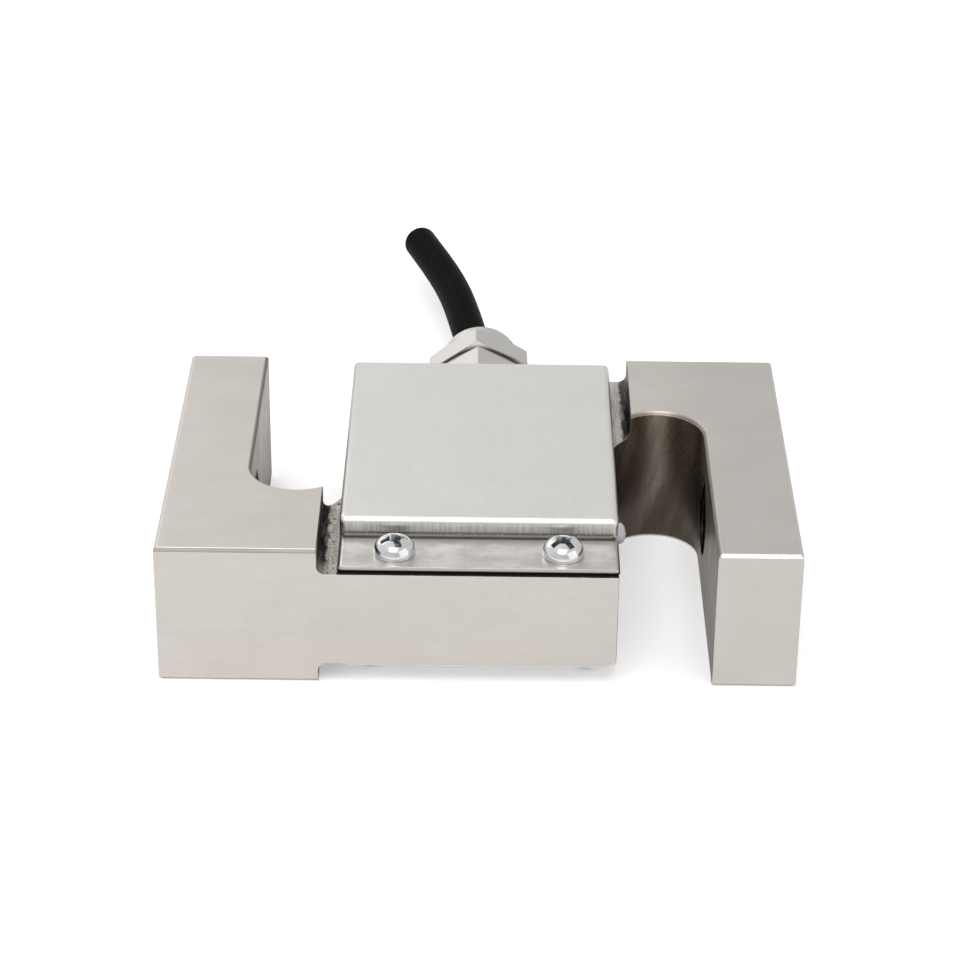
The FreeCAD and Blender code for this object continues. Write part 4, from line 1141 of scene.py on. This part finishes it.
@dataclass
class PanHeadScrew:
    """A pan head screw with a cross recess and a threaded shank, turned in degrees."""

    name: str
    node: str
    size: ScrewSize
    place: Triple
    turn: float
    flipped: bool = False

    def head_top(self, radius: np.ndarray) -> np.ndarray:
        """The crown: a flat middle that rolls over to a short upright rim.

        Args:
            radius: distances from the axis.

        Returns:
            Its height over the seat.
        """
        tall = self.size.head_height
        rim = 0.14 * tall
        share = np.clip(radius / self.size.head_radius, 0.0, 1.0)
        return rim + (tall - rim) * np.sqrt(np.clip(1.0 - share ** 2.7, 0.0, 1.0))

    def recess(self, x: np.ndarray, y: np.ndarray) -> np.ndarray:
        """The cross: two crossed wings with sloping ends, and a round well in the middle.

        Args:
            x: places along one wing.
            y: places along the other.

        Returns:
            Its depth.
        """
        reach = self.size.recess_reach
        wings = []
        for run, cross in ((np.abs(x), np.abs(y)), (np.abs(y), np.abs(x))):
            half = 0.19 * reach + 0.02 * run
            end = np.clip((reach - run) / (0.34 * reach), 0.0, 1.0)
            wings.append(end * smooth_step(half - cross, -0.03, 0.05))
        radius = np.hypot(x, y)
        well = smooth_step(0.46 * reach - radius, -0.06, 0.10)
        cone = 1.0 + 0.22 * np.clip(1.0 - radius / (0.46 * reach), 0.0, 1.0)
        return 0.62 * self.size.head_height * cone * np.maximum(np.maximum(*wings), well)

    def build(self, material: Material) -> None:
        """Turn a profile about the axis: crown, rim, seat, threaded shank and tip.

        Args:
            material: its finish.
        """
        size = self.size
        turn = full_turn(size.around)
        out = np.sin(np.linspace(0.0, math.pi / 2, size.across)) * size.head_radius
        crown_r = np.repeat(out[:, None], size.around, axis=1)
        depth = self.recess(crown_r * np.cos(turn), crown_r * np.sin(turn))
        lip = 0.05 * size.head_height
        down = np.arange(0.0, size.length - size.pitch, size.pitch / 6)
        phase = -down[:, None] / size.pitch - turn[None, :] / math.tau
        shank_r = size.thread_radius - 0.02 - 0.55 * size.pitch * triangle_wave(phase)

        def ring(*values: float) -> np.ndarray:
            """Each value all the way round, one a line."""
            return np.repeat(np.array(values)[:, None], size.around, axis=1)

        rim_r = ring(size.head_radius, size.head_radius - lip, size.thread_radius)
        radius = np.concatenate((crown_r, rim_r, shank_r, ring(0.55 * size.thread_radius, 0.0)))
        height = np.concatenate((self.head_top(crown_r) - depth, ring(lip, 0.0, 0.0),
                                 ring(*(-down - 0.02)), ring(-size.length, -size.length)))
        angle = turn[None, :] + math.radians(self.turn)
        flip = -1.0 if self.flipped else 1.0
        offset = np.stack(
            (radius * np.cos(angle), flip * radius * np.sin(angle), flip * height), axis=-1)
        # Painted shade in the cross recess, by how deep each point of the crown lies
        sunk = np.zeros(radius.shape)
        sunk[:size.across] = np.clip(depth / depth.max() * 1.3, 0.0, 1.0)
        piece = make_piece(self.name, np.array(self.place) + offset, grid_faces(len(radius), size.around),
                           material, 40.0, sunk)
        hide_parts(self.node)


def closed_ring(along: np.ndarray, radius: np.ndarray, back: float) -> tuple[np.ndarray, np.ndarray]:
    """Close a threaded surface to a ring with an even back.

    Args:
        along: places along the axis, on one line.
        radius: radius of the threaded side, a line for each angle and a column for each place.
        back: radius of the other side.

    Returns:
        Places along the axis and radii of the whole ring.
    """
    rows = len(radius)
    ends = np.repeat(along[:, [-1, 0]], rows, axis=0)
    return (np.concatenate((np.repeat(along, rows, axis=0), ends), axis=1),
            np.concatenate((radius, np.full((rows, 2), back)), axis=1))


@dataclass
class LoadThread:
    """The M10 thread in an arm: a closed ring with a helical ridge on its inside."""

    side: Side
    root: float = BORE_RADIUS
    crest: float = 4.25
    pitch: float = 1.5
    start: float = ARM_INNER
    end: float = 37.6
    around: int = 160
    along: int = 110

    def build(self, material: Material) -> None:
        """Work out the ring: radius falls from root to crest along a helix, and runs out at both ends.

        Args:
            material: its finish.
        """
        turn = full_turn(self.around)[:, None]
        x = np.linspace(self.start + 0.02, self.end, self.along)[None, :]
        ridge = np.clip(triangle_wave(x / self.pitch - turn / math.tau) * 1.45 - 0.22, 0.0, 1.0)
        room = np.minimum(x - self.start, self.end - x)
        depth = np.minimum((self.root - self.crest) * ridge, room)
        place, radius = closed_ring(x, self.root - 0.01 - depth, self.root + 0.06)
        flip = self.side.value
        points = np.stack(
            (flip * place, flip * radius * np.cos(turn), AXIS_Z + radius * np.sin(turn)), axis=-1)
        make_piece(f"load_thread_{self.side.name.lower()}", points,
                   grid_faces(self.around, self.along + 2, True), material, 25.0)


@dataclass
class GlandThread:
    """The thread that shows in the gap between the gland's body and its cap nut."""

    start: float = 6.9
    end: float = 7.68
    root: float = 4.47
    crest: float = 4.92
    pitch: float = 0.75
    around: int = 120
    along: int = 24

    def build(self, material: Material) -> None:
        """Work out the ring: radius rises from root to crest along a helix, and runs out at both ends.

        Args:
            material: its finish.
        """
        turn = full_turn(self.around)[:, None]
        y = np.linspace(self.start, self.end, self.along)[None, :]
        ridge = triangle_wave(y / self.pitch - turn / math.tau)
        room = np.minimum(y - self.start, self.end - y) * 2.0
        height = np.minimum((self.crest - self.root) * ridge, room)
        place, radius = closed_ring(y, self.root + 0.05 + height, self.root - 0.1)
        points = np.stack((GLAND_X + radius * np.sin(turn), HALF_DEPTH + place,
                           AXIS_Z + radius * np.cos(turn)), axis=-1)
        make_piece("gland_thread", points, grid_faces(self.around, self.along + 2, True), material,
                   25.0)


@dataclass
class SiliconeBead:
    """Silicone that swells out of an open side of the top cover."""

    side: Side
    seed: int
    back: float = 15.2
    front_end: float = -16.8
    rear_end: float = 23.6
    swell: float = 0.75
    along: int = 180
    around: int = 18

    def build(self, material: Material) -> None:
        """Half-round sections along the side, swollen by a sum of slow waves, closed at both ends.

        Args:
            material: its finish.
        """
        random = np.random.default_rng(self.seed)
        share = np.linspace(0.0, 1.0, self.along)
        y = self.front_end + (self.rear_end - self.front_end) * share
        waves = sum(
            random.uniform(0.06, 0.16) * np.sin(2 * math.pi * rate * share + random.uniform(0, 6.28))
            for rate in (2, 3, 5, 8, 13)
        )
        taper = np.sqrt(np.clip(np.minimum(share, 1.0 - share) * 30.0, 0.0, 1.0))
        out = np.maximum(self.swell + 0.4 * waves, 0.1) * taper + 0.02
        middle = (RECESS_FLOOR + PLATE_UNDER) / 2
        tall = (PLATE_UNDER - RECESS_FLOOR) / 2 - 0.02
        bend = np.linspace(-math.pi / 2, math.pi / 2, self.around)
        high = (tall * (0.25 + 0.75 * taper))[:, None]
        x = np.concatenate((self.back + out[:, None] * np.cos(bend)[None, :] ** 0.7,
                            np.full((self.along, 2), self.back - 0.1)), axis=1)
        z = middle + np.concatenate((high * np.sin(bend)[None, :], high * np.array([[1.0, -1.0]])), axis=1)
        points = np.stack((self.side.value * x, np.repeat(y[:, None], x.shape[1], axis=1), z), axis=-1)
        ends = np.repeat(points.mean(axis=1, keepdims=True)[[0, -1]], x.shape[1], axis=1)
        closed = np.concatenate((ends[:1], points, ends[1:]))
        make_piece(f"silicone_bead_{self.side.name.lower()}", closed, grid_faces(*closed.shape[:2]),
                   material, 60.0)


@dataclass
class SiliconeDrop:
    """A drop of silicone pressed out beside the step of the top cover."""

    middle: Triple = (16.88, -16.40, 15.85)
    half: Triple = (0.68, 0.66, 1.40)
    rings: int = 40
    around: int = 64

    def build(self, material: Material) -> None:
        """An egg, wider low down, whose surface two crossing waves push in and out.

        Args:
            material: its finish.
        """
        polar = np.linspace(0.0, math.pi, self.rings)[:, None]
        turn = full_turn(self.around)[None, :]
        belt = np.sin(polar)
        swell = 1.0 + belt * (0.09 * np.sin(3 * turn + 2.2 * polar) + 0.05 * np.sin(5 * turn - 6 * polar))
        width = belt * (1.0 - 0.22 * np.cos(polar)) * swell
        unit = np.stack((width * np.cos(turn), width * np.sin(turn), np.cos(polar) + 0 * turn), axis=-1)
        points = np.array(self.middle) + unit * np.array(self.half)
        make_piece("silicone_drop", points, grid_faces(self.rings, self.around), material, 60.0)


# The whole cell


FINISHES = (
    NickelBlock("nickel_plate", 0.42),
    StainlessSheet("stainless_sheet", 0.36),
    PlainMetal("zinc_plate", 0.17, Colour.ZINC, 0.90, Axis.Z, edge_round=0.05, wear=0.006),
    PlainMetal("gland_plate", 0.50, Colour.GLAND, 0.94, Axis.X, edge_round=0.30, wear=0.010,
               gap_shade=(31.95, 33.15)),
    # Thread inside the load bores, near black: painted shade
    PlainMetal("threaded_steel_in_shade", 0.34, Colour.THREAD_IN_SHADE, 0.7, edge_round=0.03, wear=0.010),
    PlainMetal("ring_brass", 0.32, Colour.BRASS),
    PlainMetal("bare_copper", 0.30, Colour.COPPER, edge_round=0.01, wear=0.004),
    PlainMetal("enamelled_wire", 0.30, Colour.ENAMEL, 0.8, edge_round=0.02),
    Braid("tinned_braid", 0.35),
    CableJacket("cable_black", 0.40),
    PlainCoat("washer_fibre", 0.60, Colour.FIBRE),
    PlainCoat("seal_rubber", 0.60, Colour.RUBBER),
    PlainCoat("core_red", 0.42, Colour.CORE_RED),
    PlainCoat("core_black", 0.42, Colour.CORE_BLACK),
    PlainCoat("core_green", 0.42, Colour.CORE_GREEN),
    PlainCoat("core_white", 0.42, Colour.CORE_WHITE),
    PlainCoat("board_varnish", 0.35, Colour.VARNISH),
    PlainCoat("resistor_black", 0.40, Colour.RESISTOR),
    PlainCoat("gauge_film", 0.35, Colour.FILM),
    PlainCoat("silicone", 0.36, Colour.SILICONE, pale=1.12, skin=0.03),
)

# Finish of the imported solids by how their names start, the longer starts first
FINISH_BY_START = {
    "spring_element": "nickel_plate",
    "top_cover_screw": "zinc_plate",
    "bottom_cover_screw": "zinc_plate",
    "top_cover": "stainless_sheet",
    "bottom_cover": "stainless_sheet",
    "gland_washer": "washer_fibre",
    "gland_seal": "seal_rubber",
    "gland_clamp_ring": "ring_brass",
    "gland_": "gland_plate",
    "cable_jacket": "cable_black",
    "cable_shield": "tinned_braid",
    "cable_core_red": "core_red",
    "cable_core_black": "core_black",
    "cable_core_green": "core_green",
    "cable_core_white": "core_white",
    "terminal_board": "board_varnish",
    "trim_resistors": "resistor_black",
    "strain_gauge": "gauge_film",
    "gauge_leads": "enamelled_wire",
    "potting": "silicone",
}


class LoadCell:
    """All finishes and pieces of the cell."""

    def __init__(self) -> None:
        """Build the shared effects and the finishes."""
        effects = Effects()
        self.finish = {item.name: item.build(effects) for item in FINISHES}

    def dress_solids(self) -> None:
        """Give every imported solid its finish."""
        for name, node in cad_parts.items():
            start = next(start for start in FINISH_BY_START if name.startswith(start))
            material = self.finish[FINISH_BY_START[start]]
            if node.material_slots:
                for slot in node.material_slots:
                    slot.material = material
            else:
                node.data.materials.append(material)
            log.info("%s: finish %s", name, material.name)

    def build_cable(self) -> None:
        """The free cable, made before anything else on the cell."""
        Cable().build(self.finish["cable_black"], self.finish["bare_copper"])

    def build_screws(self) -> None:
        """Two screws of the top cover and four of the bottom cover."""
        zinc = self.finish["zinc_plate"]
        x, y = TOP_SCREW_AT
        for side, turn in ((Side.LEFT, 20.0), (Side.RIGHT, 38.0)):
            which = side.name.lower()
            PanHeadScrew(f"top_screw_{which}", f"top_cover_screw_{which}", TOP_SCREW,
                         (side.value * x, y, FLANGE_TOP), turn).build(zinc)
        x, y = BOTTOM_SCREW_AT
        for end, side, turn in ((End.FRONT, Side.LEFT, 12.0), (End.FRONT, Side.RIGHT, 55.0),
                                (End.BACK, Side.LEFT, 31.0), (End.BACK, Side.RIGHT, 74.0)):
            which = f"{end.name}_{side.name}".lower()
            PanHeadScrew(f"bottom_screw_{which}", f"bottom_cover_screw_{which}", BOTTOM_SCREW,
                         (side.value * x, end.value * y, UNDER_SEAT), turn, True).build(zinc)

    def build_threads(self) -> None:
        """Both load threads and the gland's thread."""
        for side in (Side.RIGHT, Side.LEFT):
            LoadThread(side).build(self.finish["threaded_steel_in_shade"])
        GlandThread().build(self.finish["gland_plate"])

    def build_silicone(self) -> None:
        """Beads in both open sides of the top cover, with a drop at the right of the step."""
        for side, seed in ((Side.LEFT, 3), (Side.RIGHT, 8)):
            SiliconeBead(side, seed).build(self.finish["silicone"])
        SiliconeDrop().build(self.finish["silicone"])


def main() -> None:
    """Build the camera, the cable, the studio and the rest of the cell, in that order."""
    logging.basicConfig(level=logging.INFO, format="%(name)s: %(message)s")
    PhotoCamera().build()
    cell = LoadCell()
    cell.build_cable()
    Studio().build()
    cell.dress_solids()
    cell.build_screws()
    cell.build_threads()
    cell.build_silicone()


if __name__ == "__main__":
    main()
